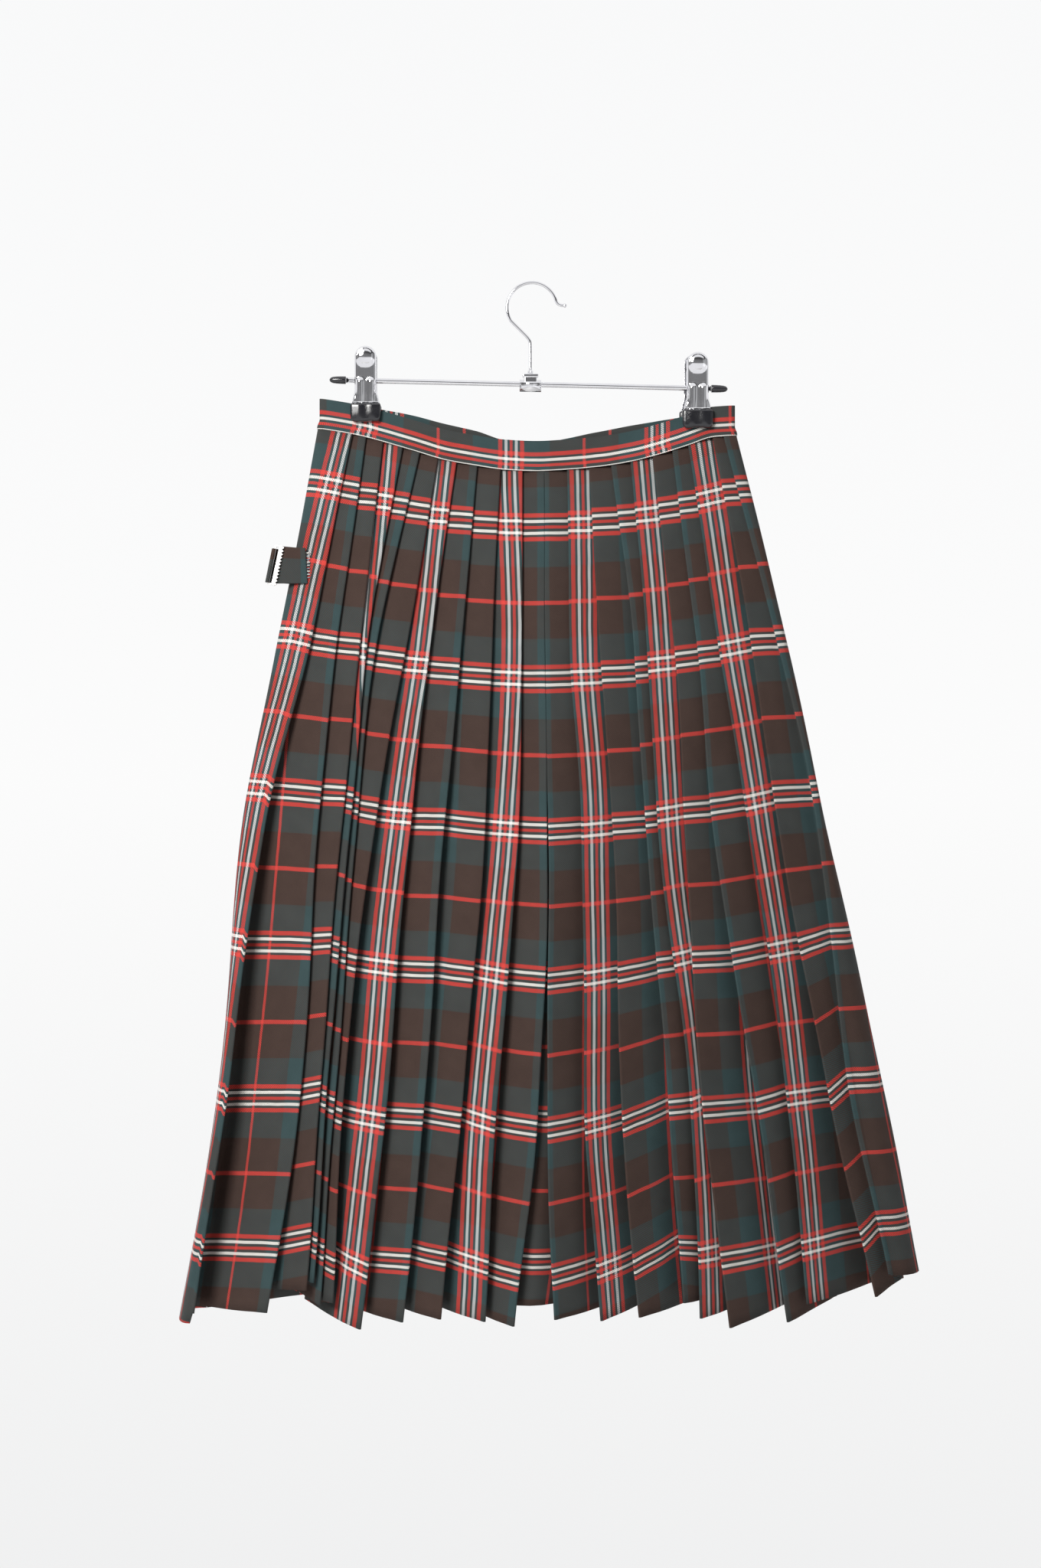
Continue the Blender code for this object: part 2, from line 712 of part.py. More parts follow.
def capsule(name, across, low, high, radius, squash, collection):
    """An upright rib with round ends, flattened towards the plate."""
    mesh = bpy.data.meshes.new(name)
    work = bmesh.new()
    bmesh.ops.create_uvsphere(work, u_segments=10, v_segments=6, radius=radius * MM)
    for vert in work.verts:
        if vert.co.z > 0.0001 * MM:
            vert.co.z += (high - low) * MM
        vert.co.y *= squash
    work.to_mesh(mesh)
    work.free()
    made = add_object(name, mesh, None, collection)
    made.location = (across * MM, 0.0, low * MM)
    return made


def make_clip(side, steel, vinyl, collection, cutters):
    """One spring clip: two plates, two vinyl grips and the spring round the rod."""
    name = ("left", "right")[side]
    foot = CLIP_FOOT[side]
    band_face = BAND_TOP_PITCH + BAND_WALL / 2
    for face, sign in (("back", 1), ("front", -1)):
        x = CLIP_X[side] + (CLIP_BACK_SHIFT[side] if sign > 0 else 0.0)
        grip_y = sign * (band_face + SEAM_GAP + GRIP[1] / 2)
        block(f"clip_{name}_grip_{face}", GRIP, (x, grip_y, foot + GRIP[2] / 2), GRIP_ROUND,
              vinyl, collection)
        plate = flat_shape(f"clip_{name}_plate_{face}", plate_outline(), CLIP_SHEET, steel,
                           collection)
        apply_turn(plate)
        for j, across in enumerate((-RIB_X, RIB_X)):
            rib = capsule(f"rib_{name}_{face}_{j}", across, RIB_FOOT, RIB_TOP, RIB_RADIUS, 0.7,
                          collection)
            apply_turn(rib)
            combine(plate, rib, "UNION", cutters)
            rib.parent = plate
        dimple = capsule(f"dimple_{name}_{face}", 0.0, CLIP_HEIGHT - CLIP_RADIUS,
                         CLIP_HEIGHT - CLIP_RADIUS, DIMPLE_RADIUS, 0.28, collection)
        apply_turn(dimple)
        combine(plate, dimple, "UNION", cutters)
        dimple.parent = plate
        plate_y = sign * (band_face + SEAM_GAP + CLIP_SHEET)
        lean = sign * CLIP_TILT
        plate.location = Vector((x, plate_y, foot)) * MM
        plate.rotation_euler = (-lean, 0.0, 0.0)
    middle = rod_point(CLIP_X[side])
    along = (ROD_RIGHT - ROD_LEFT).normalized() * SPRING_LENGTH / 2
    spring = round_bar(f"clip_{name}_spring", middle - along, middle + along, SPRING_RADIUS, 16,
                       steel, collection)
    bore = round_bar(f"spring_bore_{name}", middle - along * 1.5, middle + along * 1.5,
                     ROD_RADIUS + SLIDE_FIT, 16, None, collection)
    combine(spring, bore, "DIFFERENCE", cutters)


def hip_point(distance, z, moved_out):
    """A point round the left hip at height z.

    distance runs along the outline from the back (below zero) round the
    side to the front (above zero); moved_out is measured off the cloth.
    """
    top = seam_height(SIDE_LEFT.seam)
    outline = Outline((z - top) / (SIDE_LEFT.hem_z - top))
    quarter = math.pi / 2
    start = outline.back_left
    girth = quarter * (outline.left_turn + outline.depth) / 2
    off = WALL / 2 + SEAM_GAP + moved_out
    if distance < -girth:
        x = start - (distance + girth)
        return x, outline.back(x) - off
    if distance > girth:
        x = start + (distance - girth)
        return x, outline.front(x) + off
    angle = quarter * (1 + distance / girth)
    x, y = outline.side(-1, angle)
    return x - off * math.sin(angle), y - off * math.cos(angle)


def strap_front():
    """How far forward the strap has to lie to clear the hip along its whole width."""
    heights = [STRAP_Z + up for up in (-STRAP_WIDTH / 2, 0.0, STRAP_WIDTH / 2)]
    return min(hip_point(-d, z, STRAP_WALL / 2)[1] for d in range(60) for z in heights)


def lean_rows(plan, width):
    """Lines of a band of cloth that leans with the hip, from its upper edge down."""
    rows = []
    for up in (width / 2, 0.0, -width / 2):
        shift = up * math.tan(STRAP_LEAN)
        rows.append([(x + shift, y, STRAP_Z + up) for x, y in plan])
    return rows


def make_strap(cloth, collection):
    """The strap that comes out of the slit and ends on the buckle."""
    steps = 5
    plan = []
    for i in range(steps + 1):
        s = i / steps
        x = lerp(STRAP_START_X, BUCKLE_X - BUCKLE_BAR / 2 + 0.6, s)
        plan.append((x, strap_front() + 1.0 * s * s))
    sheet("hip_strap", lean_rows(plan, STRAP_WIDTH), STRAP_WALL, cloth, collection)


def make_buckle(steel, collection, cutters):
    """A flat slide buckle: a plain bar, a slot and a toothed bar."""
    half = BUCKLE_HEIGHT / 2
    right = BUCKLE_BAR / 2
    slot_left = -BUCKLE_BAR / 2 - BUCKLE_SLOT
    left = slot_left - BUCKLE_WIRE
    outline = [(left, -half), (left, half), (right, half)]
    pitch = BUCKLE_HEIGHT / BUCKLE_TEETH
    for i in range(BUCKLE_TEETH):
        top = half - i * pitch
        outline.append((right + TOOTH_DEPTH, top - 0.35 * pitch))
        outline.append((right + TOOTH_DEPTH, top - 0.65 * pitch))
        outline.append((right, top - pitch))
    buckle = flat_shape("hip_buckle", outline, BUCKLE_SHEET, steel, collection)
    apply_turn(buckle)
    slot = block("buckle_slot", (BUCKLE_SLOT, 4.0, STRAP_WIDTH + 0.6),
                 (slot_left + BUCKLE_SLOT / 2, 0, 0), 0.0, None, collection)
    slot.parent = buckle
    combine(buckle, slot, "DIFFERENCE", cutters)
    buckle.location = Vector((BUCKLE_X, buckle_face(), STRAP_Z)) * MM
    buckle.rotation_euler = (0.0, STRAP_LEAN, 0.0)


def buckle_face():
    """Middle of the buckle's sheet metal, front to back."""
    return strap_front() - STRAP_WALL / 2 - SEAM_GAP - BUCKLE_SHEET / 2


def make_tab(cloth, collection):
    """The tab that goes round the buckle's plain bar and back along the hip."""
    bar = (BUCKLE_BAR + BUCKLE_WIRE) / 2 + BUCKLE_SLOT
    bar_x = BUCKLE_X - bar / math.cos(STRAP_LEAN)
    face_y = buckle_face()
    clear = BUCKLE_WIRE / 2 + 2 * SEAM_GAP + TAB_WALL / 2
    plan = [(bar_x + 0.2, face_y - BUCKLE_SHEET / 2 - SEAM_GAP - TAB_WALL / 2)]
    for angle in (60, 30, 0, -30, -60):
        a = math.radians(angle)
        plan.append((bar_x - clear * math.cos(a), face_y - (clear + 0.1) * math.sin(a)))
    plan.append((bar_x + 3.6, face_y + 5.4))
    rows = lean_rows(plan, TAB_WIDTH)
    for row, up in zip(rows, (TAB_WIDTH / 2, 0.0, -TAB_WIDTH / 2)):
        z = STRAP_Z + up
        for share in (0.04, 0.12, 0.2, 0.28, 0.36, 0.7, 1.0):
            x, y = hip_point(TAB_REACH * share, z, TAB_WALL / 2 + 0.2)
            row.append((x, y, z))
    sheet("hip_tab", rows, TAB_WALL, cloth, collection)


def main():
    """Builds every piece."""
    for made in list(bpy.data.objects):
        bpy.data.objects.remove(made)
    collection = bpy.data.collections.new("kilt_on_clip_hanger")
    cutters = bpy.data.collections.new("cutters")
    bpy.context.scene.collection.children.link(collection)
    bpy.context.scene.collection.children.link(cutters)

    tartan = material("tartan wool", (0.05, 0.06, 0.055), 0.85)
    steel = material("chromed steel", (0.75, 0.75, 0.76), 0.15, 1.0)
    vinyl = material("black vinyl", (0.012, 0.012, 0.014), 0.3)

    for name, rows in back_stretches().items():
        sheet(name, rows, WALL, tartan, collection)
    for name in ("over_apron", "under_apron_left", "under_apron_right"):
        sheet(name, apron_rows(name), WALL, tartan, collection)
    for name in ("waistband_back", "waistband_over", "waistband_under"):
        sheet(name, band_rows(name), BAND_WALL, tartan, collection)
    make_strap(tartan, collection)
    make_buckle(steel, collection, cutters)
    make_tab(tartan, collection)
    make_hanger(steel, vinyl, collection, cutters)
    for side in (0, 1):
        make_clip(side, steel, vinyl, collection, cutters)


main()
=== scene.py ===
"""The looks of a pleated tartan kilt that hangs from a wire clip hanger.

The pleated back faces -Y and +Z is up. The origin is the inside top of the
hanger's hook. Sizes are in millimetres and become metres in the meshes.
"""

import math
from bisect import bisect_right
from collections import namedtuple

import bmesh
import bpy
from mathutils import Matrix, Vector


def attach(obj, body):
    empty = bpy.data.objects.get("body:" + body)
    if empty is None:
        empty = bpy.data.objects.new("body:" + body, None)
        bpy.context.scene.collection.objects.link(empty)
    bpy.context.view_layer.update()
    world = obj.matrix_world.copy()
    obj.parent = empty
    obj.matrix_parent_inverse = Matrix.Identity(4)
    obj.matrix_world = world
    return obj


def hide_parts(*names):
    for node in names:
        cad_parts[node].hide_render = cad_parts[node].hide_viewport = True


MM = 0.001

# Cloth
WALL = 1.0            # thickness of one layer of cloth
LAYER = 1.5           # closest pitch of two folded layers
SEAM_GAP = 0.3
PLEAT_PITCH = (3.5, 9.0)
SLOPE_BLEND = 12.0
PLEAT_CLOTH = 81.0    # cloth taken up by one pleat: two thirds of a check
DEEPEST_TUCK = 32.0
LEAST_TUCK = 5.0
SIDE_TUCK = 3.0       # the least of a pleat next to a side's turn
TURN_ROOM = 0.55      # share of a side's turn that a tuck keeps clear of
TUCK_STEP = 0.5
SEAM_SLOPE = 0.17
HEM_SLOPE = 0.62
APRON_GAP = 2.7
SWELL = (0.3, 2.4)    # how far a pleat's face rounds out, at the seam and the hem
SWELL_WIDTH = 26.0    # a face this wide rounds out in full
UNDERLAY_REACH = 20.0
SETT = 121.5          # one repeat of the check, both ways
GREEN_START = 28.5    # where the half check turns from brown to green
WEFT_START = 18.0     # cloth between the seam and the line from which the weft repeats
WEFT_SHARE = 1.005    # cloth used for each millimetre of height
TWILL_PITCH = 1.74    # from one diagonal of the twill to the next
UNDERLAY_EASE = 1.02  # cloth used for each millimetre across the middle underlay
BAND_EASE = 1.006     # and along the band
APRON_EASE = 1.01     # and across an apron

# Waistband
BAND_HEIGHT = 25.0
BAND_WALL = 2.0
BAND_EDGE = 0.7       # how far its cut edges are rounded
BAND_PRESSED = 7.4
BAND_TOP_PITCH = 2.7
BAND_GROUP_X = -17.5  # where a group of bright lines crosses the middle of the band
BAND_GROUP_DROP = 20.2

# The skirt as a flattened tube: values at the seam and at the hem
TURN_WIDTH = (7.0, 30.0)
TURN_CLEAR = 2.5
HALF_DEPTH = (5.2, 34.0)
BACK_BULGE = (0.0, 20.0)
FRONT_BULGE = (0.0, 8.0)
MIDDLE_Y = 0.6
TWIST = 0.12

# Heights at which the outer edges of the folds are given
HIP_Z = -301.0
MID_Z = -444.0
LOW_Z = -665.0

# Each row is a fold's outer edge: x at five heights, the height of its hem
# corner, and how far the inner fold behind it is lifted at the hem
Fold = namedtuple("Fold", "name seam hip mid low hem hem_z lift")

SIDE_LEFT = Fold("side_left", -175, -208, -236, -255, -283, -838, 0)
LEFT_FOLDS = (
    Fold("left_1", -148, -183, -218, -246, -271, -830, 0),
    Fold("left_2", -137, -160, -174, -188, -212, -830, 6),
    Fold("left_3", -123, -142, -155, -172, -182, -812, 8),
    Fold("left_4", -107, -136, -149, -166, -176, -806, 6),
    Fold("left_5", -93, -128, -144, -160, -170, -824, 8),
    Fold("left_6", -78, -104, -128, -154, -160, -822, 6),
    Fold("left_7", -63, -85, -100, -118, -139, -843, 13),
    Fold("left_8", -46, -59, -73, -87, -105, -838, 11),
    Fold("left_9", -27, -34, -40, -57, -75, -836, 12),
    Fold("left_10", -9, -9, -13, -29, -39, -839, 11),
    Fold("left_11", 9, 10, 11, 4, -15, -843, 14),
)
RIGHT_FOLDS = (
    Fold("right_10", 158, 203, 234, 262, 293, -811, 4),
    Fold("right_9", 149, 182, 202, 244, 283, -829, 8),
    Fold("right_8", 129, 155, 178, 209, 226, -832, 8),
    Fold("right_7", 116, 136, 148, 184, 208, -846, 14),
    Fold("right_6", 100, 117, 126, 139, 161, -849, 14),
    Fold("right_5", 82, 95, 104, 129, 137, -841, 8),
    Fold("right_4", 66, 85, 94, 111, 124, -828, 4),
    Fold("right_3", 48, 57, 67, 73, 88, -838, 14),
    Fold("right_2", 30, 33, 41, 44, 57, -840, 9),
    Fold("right_1", 11, 12, 14, 14, 19, -838, 10),
)
SIDE_RIGHT = Fold("side_right", 167, 211, 242, 291, 322, -812, 0)

# Where the warp lies at the folds: distance along the cloth at the first fold of each half
LEFT_WARP = 74.4
RIGHT_WARP = 9.1 + 10 * PLEAT_CLOTH

# How the check moves at a fold, at the five heights
Shift = namedtuple("Shift", "fold seam hip mid low hem")

# How far the warp slips round a fold that was pressed a little off
SLIPS = (
    Shift("left_1", -8, -1.5, -1, 3, 14),
    Shift("left_2", 0, 0, -2, 7, 3),
    Shift("left_4", 0, -16.5, -29, -31, -32),
    Shift("left_7", -3.7, -8.7, -3.7, 0, 0),
    Shift("left_10", -3.7, -8.7, -3.7, 0, 0),
)

# How far the weft has dropped on each fold's face against an even count
DROPS = (
    Shift("left_1", 0, 5, 9, 14, 11),
    Shift("left_2", 0, 7, 8, 9, 6),
    Shift("left_3", 2, 5, 2, -3, -9),
    Shift("left_4", 2, 4, 4, 1, -6),
    Shift("left_5", 1, 4, 4, 2, -5),
    Shift("left_6", 1, 3, 4, 6, 2),
    Shift("left_7", 1, 3, 5, 7, 2),
    Shift("left_8", 1, 5, 6, 1.5, -9),
    Shift("left_9", 2, 6, 7, 1.5, -16),
    Shift("left_10", 2, 6, 8, 3.5, -8),
    Shift("left_11", 2, 6, 9, 7, 3),
    Shift("right_10", 0, 2, 4, 0, -5),
    Shift("right_9", 2, 4, 8, 12, 5.5),
    Shift("right_8", 2, 4, 8, 7, 7.5),
    Shift("right_7", 2, 4, 7, 7.5, 9),
    Shift("right_6", 2, 3, 5, 5.5, 7),
    Shift("right_5", 1, 3, 4, -3, -2.5),
    Shift("right_4", 0, 4, 5, -4, -16),
    Shift("right_3", 0, 5, 8, 6.5, -3),
    Shift("right_2", 1, 6, 10, 7, -1),
    Shift("right_1", 2, 6, 10, 8, 2),
)

# How much further the weft drops for each millimetre along a face that hangs askew
TILTS = (
    Shift("left_2", 0, 0, -0.05, -0.14, -0.14),
    Shift("left_3", 0, 0, -0.1, -0.4, -0.45),
    Shift("left_7", 0, 0, 0, 0, 0.3),
    Shift("left_8", 0, 0, -0.1, -0.18, -0.3),
    Shift("left_9", 0, 0, 0, -0.07, -0.12),
    Shift("left_10", 0, 0, 0, 0.1, 0),
    Shift("right_9", 0, 0, 0, 0.5, 0.5),
    Shift("right_8", 0, 0, 0, -0.17, -0.1),
    Shift("right_6", 0, 0, -0.1, -0.2, -0.18),
    Shift("right_5", 0, 0, 0, 0, -0.38),
    Shift("right_4", 0, 0, 0, -0.1, -0.45),
    Shift("right_3", 0, 0, 0, 0.2, 0.3),
)

# The waist seam sags between the two clips; the far band hangs a little higher
Seam = namedtuple("Seam", "x back front_rise")
SEAM = (
    Seam(-176, -118.6, 0.0),
    Seam(-144, -124.0, 0.0),
    Seam(-97, -136.8, 4.0),
    Seam(-72, -144.3, 5.0),
    Seam(-47, -148.9, 4.0),
    Seam(-24, -152.3, 0.0),
    Seam(3, -153.6, -2.0),
    Seam(28, -152.4, 1.0),
    Seam(53, -150.2, 4.0),
    Seam(78, -146.4, 5.0),
    Seam(103, -140.2, 3.0),
    Seam(128, -132.4, 0.0),
    Seam(148, -125.8, 0.0),
    Seam(168, -124.4, 0.0),
)

# The front hem, hidden behind the back: height at shares of the way across
Hem = namedtuple("Hem", "share z")
FRONT_HEM = (Hem(0.0, -838), Hem(0.2, -828), Hem(0.5, -829), Hem(0.8, -819), Hem(1.0, -812))

# How finely the cloth is drawn
ROW_COUNT = 84
FACE_STEPS = 7
RETURN_STEPS = 5
FOLD_STEPS = 4
TURN_STEPS = 12
UNDERLAY_STEPS = 8
APRON_STEPS = 72
BAND_STEPS = 110
SIDE_SEAM = 6.0
APRON_FREE_EDGE = 16.0
APRON_DRAPE = 3.2     # how far an apron's soft folds stand in or out at the hem
BAND_RISES = (0.3, 0.9, 1.8, 3.6, 5.5, BAND_PRESSED, 11.0, 15.0, 19.0, 22.5, 24.3, BAND_HEIGHT)
BAND_ROLL = 1.8       # the foot of the band, which rolls before it is pressed flat
BAND_DRAW = 0.012     # share by which the pressed part is drawn in

# Strap, buckle and tab on the left hip
STRAP_WALL = 1.6
STRAP_WIDTH = 29.0
STRAP_EDGE = 0.5
STRAP_Z = -231.5
STRAP_LEAN = math.radians(11.5)
STRAP_START_X = -183.5
STRAP_LAP = 0.6             # how far it reaches onto the buckle's bar
STRAP_BOW = 0.5
STRAP_CURL = 1.4            # lift of the strap's top corner
STRAP_GREEN_X = -188.6      # the strap's warp turns green here
BUCKLE_X = -207.2
BUCKLE_HEIGHT = 33.0
BUCKLE_BAR = 3.0
BUCKLE_SLOT = 1.8
BUCKLE_WIRE = 1.6
BUCKLE_SHEET = 1.2
BUCKLE_CORNER = 0.8
BUCKLE_ROUND = 0.22
BUCKLE_TEETH = 12
TOOTH_TIP = (0.44, 0.56)    # shares of the pitch between which a tooth is flat
TOOTH_DEPTH = 1.4
TAB_WALL = 1.4
TAB_WIDTH = 27.4
TAB_EDGE = 0.45
TAB_END = 0.2               # how far its end comes past the buckle's bar
TAB_SLACK = 0.1
TAB_RETURN = (3.6, 5.4)     # where it leaves the bar for the hip, from the bar's middle
TAB_LIFT = 0.2
TAB_REACH = 48.0
TAB_SHARES = (0.04, 0.08, 0.12, 0.16, 0.2, 0.24, 0.28, 0.32, 0.36, 0.45, 0.55, 0.7, 0.85, 1.0)
TAB_WARP = 16.0
STRAP_WEFT = 20.0           # where the weft lies at the top edge of the strap and the tab
SLIT_X = -182.6
SLIT_TOP = -220.5
SLIT_FOOT = -241.5
SLIT_LEAN = 0.0192
SLIT_FALL = 0.16            # how far down the skirt the slit is, from nothing to one
SLIT_ROUND = -60.0          # and how far round the hip
STITCH_COUNT = 17
STITCH_DROP = 0.7
# A stitch: share of its drop, place across the slit, height off the cloth
STITCH_LINE = ((0.0, -1.5, 0.1), (0.3, -0.8, 0.5), (0.6, 0.5, 0.55), (0.85, 1.3, 0.4),
               (1.0, 1.7, 0.1))
STITCH_RADIUS = 0.42

# Hanger
ROD_RADIUS = 2.25
ROD_LEFT = Vector((-152.0, 0.0, -78.5))
ROD_RIGHT = Vector((146.4, 0.0, -85.4))
ROD_LEAN = (ROD_RIGHT - ROD_LEFT).normalized()
CAP_LENGTH = 13.5
# An end cap: share of its length, radius
CAP_SHAPE = ((0.0, 2.7), (0.01, 3.0), (0.04, 3.2), (0.3, 3.15), (0.55, 3.0), (0.75, 2.7),
             (0.86, 2.3), (0.93, 1.75), (0.975, 1.05), (1.0, 0.3))
HOOK_WIRE = 1.4
HOOK_RADIUS = 20.4
HOOK_STEM_X = -1.3
HOOK_STEM_FOOT = -70.4
HOOK_BALL = 1.8
HOOK_BALL_ENDS = ((25.0, 0.0, -17.35), (28.6, 0.0, -17.45))
# The hook's line from its stem, in (x, z), and the angles between which it is round
HOOK_SHOULDER = ((HOOK_STEM_X, -50.0), (-1.7, -46.6), (-3.4, -43.6))
HOOK_ARC = (math.radians(212), math.radians(14))
HOOK_TIP = ((21.2, -16.0), (23.0, -17.1), (25.6, -17.4))
SWIVEL_RADIUS = 2.2
SWIVEL_HEIGHT = 2.4
BRACKET_PLATE = (13.2, 8.0, 3.2)
BRACKET_NECK = (10.5, 6.4)
BRACKET_LENGTH = 17.6
BRACKET_ARC = (-18.0, 198.0)
BRACKET_RADIUS = 3.8
BRACKET_SHEET = 0.9
BRACKET_FOOT = 5.6
CLIP_X = (-136.0, 135.4)
CLIP_FOOT = (-113.2, -118.2)
CLIP_BACK_SHIFT = (0.0, -2.0)
CLIP_HEIGHT = 61.4
CLIP_RADIUS = 8.5
CLIP_SHOULDER = CLIP_HEIGHT - CLIP_RADIUS
CLIP_FLARE = 10.6
CLIP_FLARE_LENGTH = 11.0
CLIP_SHEET = 0.9
CLIP_TILT = math.radians(4.0)
CLIP_FLANGE = 2.2
FLANGE_WIDTH = 1.5
PLATE_STAND = 1.2           # from the grip's inner face to the plate's foot
PLATE_STRAIGHT = 0.68       # share of a plate's lines below its round top
GRIP = (25.0, 5.0, 15.3)
GRIP_ROUND = 2.2
GRIP_RIBS = (-5.0, 5.0)     # where the vinyl swells over the plate's ribs
GRIP_RIB_RISE = 0.7
GRIP_RIB_WIDTH = 3.0
GRIP_TAPER = 0.10
GRIP_WAVE = 0.35            # unevenness of the dipped foot
SPRING_RADIUS = 4.6
SPRING_WIRE = 0.9
SPRING_LENGTH = 12.4
SPRING_TURNS = 6
RIB_X = 4.4
RIB_RADIUS = 2.6
RIB_TOP = 33.0
RIB_RISE = 0.75
DOME_RADIUS = 6.4
DOME_RISE = 1.5
RING_RISE = 0.45            # the fine ring pressed round the dome
RING_OUT = 0.7
RING_WIDTH = 0.55

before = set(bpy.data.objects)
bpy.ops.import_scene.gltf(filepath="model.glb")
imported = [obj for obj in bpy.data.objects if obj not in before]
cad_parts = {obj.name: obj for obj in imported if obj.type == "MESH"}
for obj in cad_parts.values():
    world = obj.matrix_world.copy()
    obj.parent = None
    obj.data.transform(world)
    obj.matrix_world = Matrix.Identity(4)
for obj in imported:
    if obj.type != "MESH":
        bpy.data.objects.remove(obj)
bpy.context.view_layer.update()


# Smooth numbers
def lerp(low, high, t):
    """A value t of the way from low to high."""
    return low + (high - low) * t


def evenly(steps, low=0.0, high=1.0):
    """Values from low to high, all the same step apart."""
    return [lerp(low, high, i / steps) for i in range(steps + 1)]


def smooth_line(knots, values, at):
    """A smooth line through the values that never overshoots them."""
    last = len(knots) - 1
    rises = [(values[i + 1] - values[i]) / (knots[i + 1] - knots[i]) for i in range(last)]

    def slope(i):
        if i == 0:
            return rises[0]
        if i == last:
            return rises[-1]
        before, after = rises[i - 1], rises[i]
        if before * after <= 0.0:
            return 0.0
        return 2.0 * before * after / (before + after)

    if at <= knots[0]:
        return values[0] + rises[0] * (at - knots[0])
    if at >= knots[-1]:
        return values[-1] + rises[-1] * (at - knots[-1])
    i = min(bisect_right(knots, at) - 1, last - 1)
    span = knots[i + 1] - knots[i]
    s = (at - knots[i]) / span
    keep = values[i] * (1 + 2 * s) * (1 - s) ** 2 + values[i + 1] * s * s * (3 - 2 * s)
    bend = slope(i) * s * (1 - s) ** 2 - slope(i + 1) * s * s * (1 - s)
    return keep + bend * span


def ramp(u):
    """Rises softly from nothing at minus one to one at plus one."""
    v = min(1.0, max(0.0, (u + 1.0) / 2))
    return v * v * (3.0 - 2.0 * v)


def lesser(a, b):
    """The lesser of two lengths, blended where they are alike."""
    apart = a - b
    return (a + b - math.sqrt(apart * apart + 4.0)) / 2


# The form of the cloth
def seam_height(x, front=False):
    """Height of the waist seam at x."""
    knots = [row.x for row in SEAM]
    height = smooth_line(knots, [row.back for row in SEAM], x)
    if front:
        height += smooth_line(knots, [row.front_rise for row in SEAM], x)
    return height


def down_the_fold(fold, values, t):
    """A value given at five heights, t of the way down a fold."""
    top = seam_height(fold.seam)
    z = lerp(top, fold.hem_z, t)
    knots = (fold.hem_z, LOW_Z, MID_Z, HIP_Z, top)
    return smooth_line(knots, values[::-1], z)


def edge_x(fold, t):
    """Where a fold's outer edge is, t of the way from the seam to the hem."""
    straight = down_the_fold(fold, fold[1:6], t)
    soft = 0.7 * math.sin(9.0 * t + 0.31 * fold.seam) + 0.4 * math.sin(23.0 * t + 0.83 * fold.seam)
    return straight + soft * min(1.0, 4.0 * t)


def moved(table, fold, t):
    """How far the check has moved at a fold, from one of the tables of shifts."""
    for row in table:
        if row.fold == fold.name:
            return down_the_fold(fold, row[1:], t)
    return 0.0


def sway(x, z, t):
    """How far the hanging cloth stands off its plain form: the same for every layer at a place."""
    broad = 1.3 * math.sin(x / 27.0 + z / 88.0) + 0.8 * math.sin(x / 13.0 - z / 57.0 + 1.7)
    return t * broad + 0.25 * min(1.0, 8.0 * t) * math.sin(z / 19.0 + x / 9.0)


class Outline:
    """The flattened tube of the skirt at one height."""

    def __init__(self, t):
        self.t = t
        self.left = edge_x(SIDE_LEFT, t)
        self.right = edge_x(SIDE_RIGHT, t)
        turn = lerp(*TURN_WIDTH, t)
        self.left_turn = lesser(turn, edge_x(LEFT_FOLDS[0], t) - self.left - TURN_CLEAR)
        self.right_turn = lesser(turn, self.right - edge_x(RIGHT_FOLDS[0], t) - TURN_CLEAR)
        self.back_left = self.left + self.left_turn
        self.back_right = self.right - self.right_turn
        self.seam_left = self.back_left + SIDE_SEAM
        self.seam_right = self.back_right - SIDE_SEAM
        self.depth = lerp(*HALF_DEPTH, t)
        self.back_bulge = lerp(*BACK_BULGE, t)
        self.front_bulge = lerp(*FRONT_BULGE, t)

    def middle_y(self, x):
        return lerp(MIDDLE_Y, 0.0, self.t) + TWIST * self.t * x

    def crown(self, x):
        """One at the middle of the skirt, nothing where the sides turn."""
        middle = (self.back_left + self.back_right) / 2
        reach = (self.back_right - self.back_left) / 2
        return max(0.0, 1.0 - ((x - middle) / reach) ** 2)

    def back(self, x):
        return self.middle_y(x) - self.depth - self.back_bulge * self.crown(x)

    def front(self, x):
        return self.middle_y(x) + self.depth + self.front_bulge * self.crown(x)

    def side(self, sign, angle, inset=0.0):
        """A point round one side; angle 0 is the back and pi the front."""
        edge, start = (self.left, self.back_left) if sign < 0 else (self.right, self.back_right)
        x = lerp(start, edge, math.sin(angle))
        back = self.back(start)
        front = self.front(start) - inset
        y = (back + front) / 2 - (front - back) / 2 * math.cos(angle)
        return x, y


# One place in a section of the pleats: fold is the nearest outer fold's number
Place = namedtuple("Place", "x y hem lift fold")
Spot = namedtuple("Spot", "x y z u v")


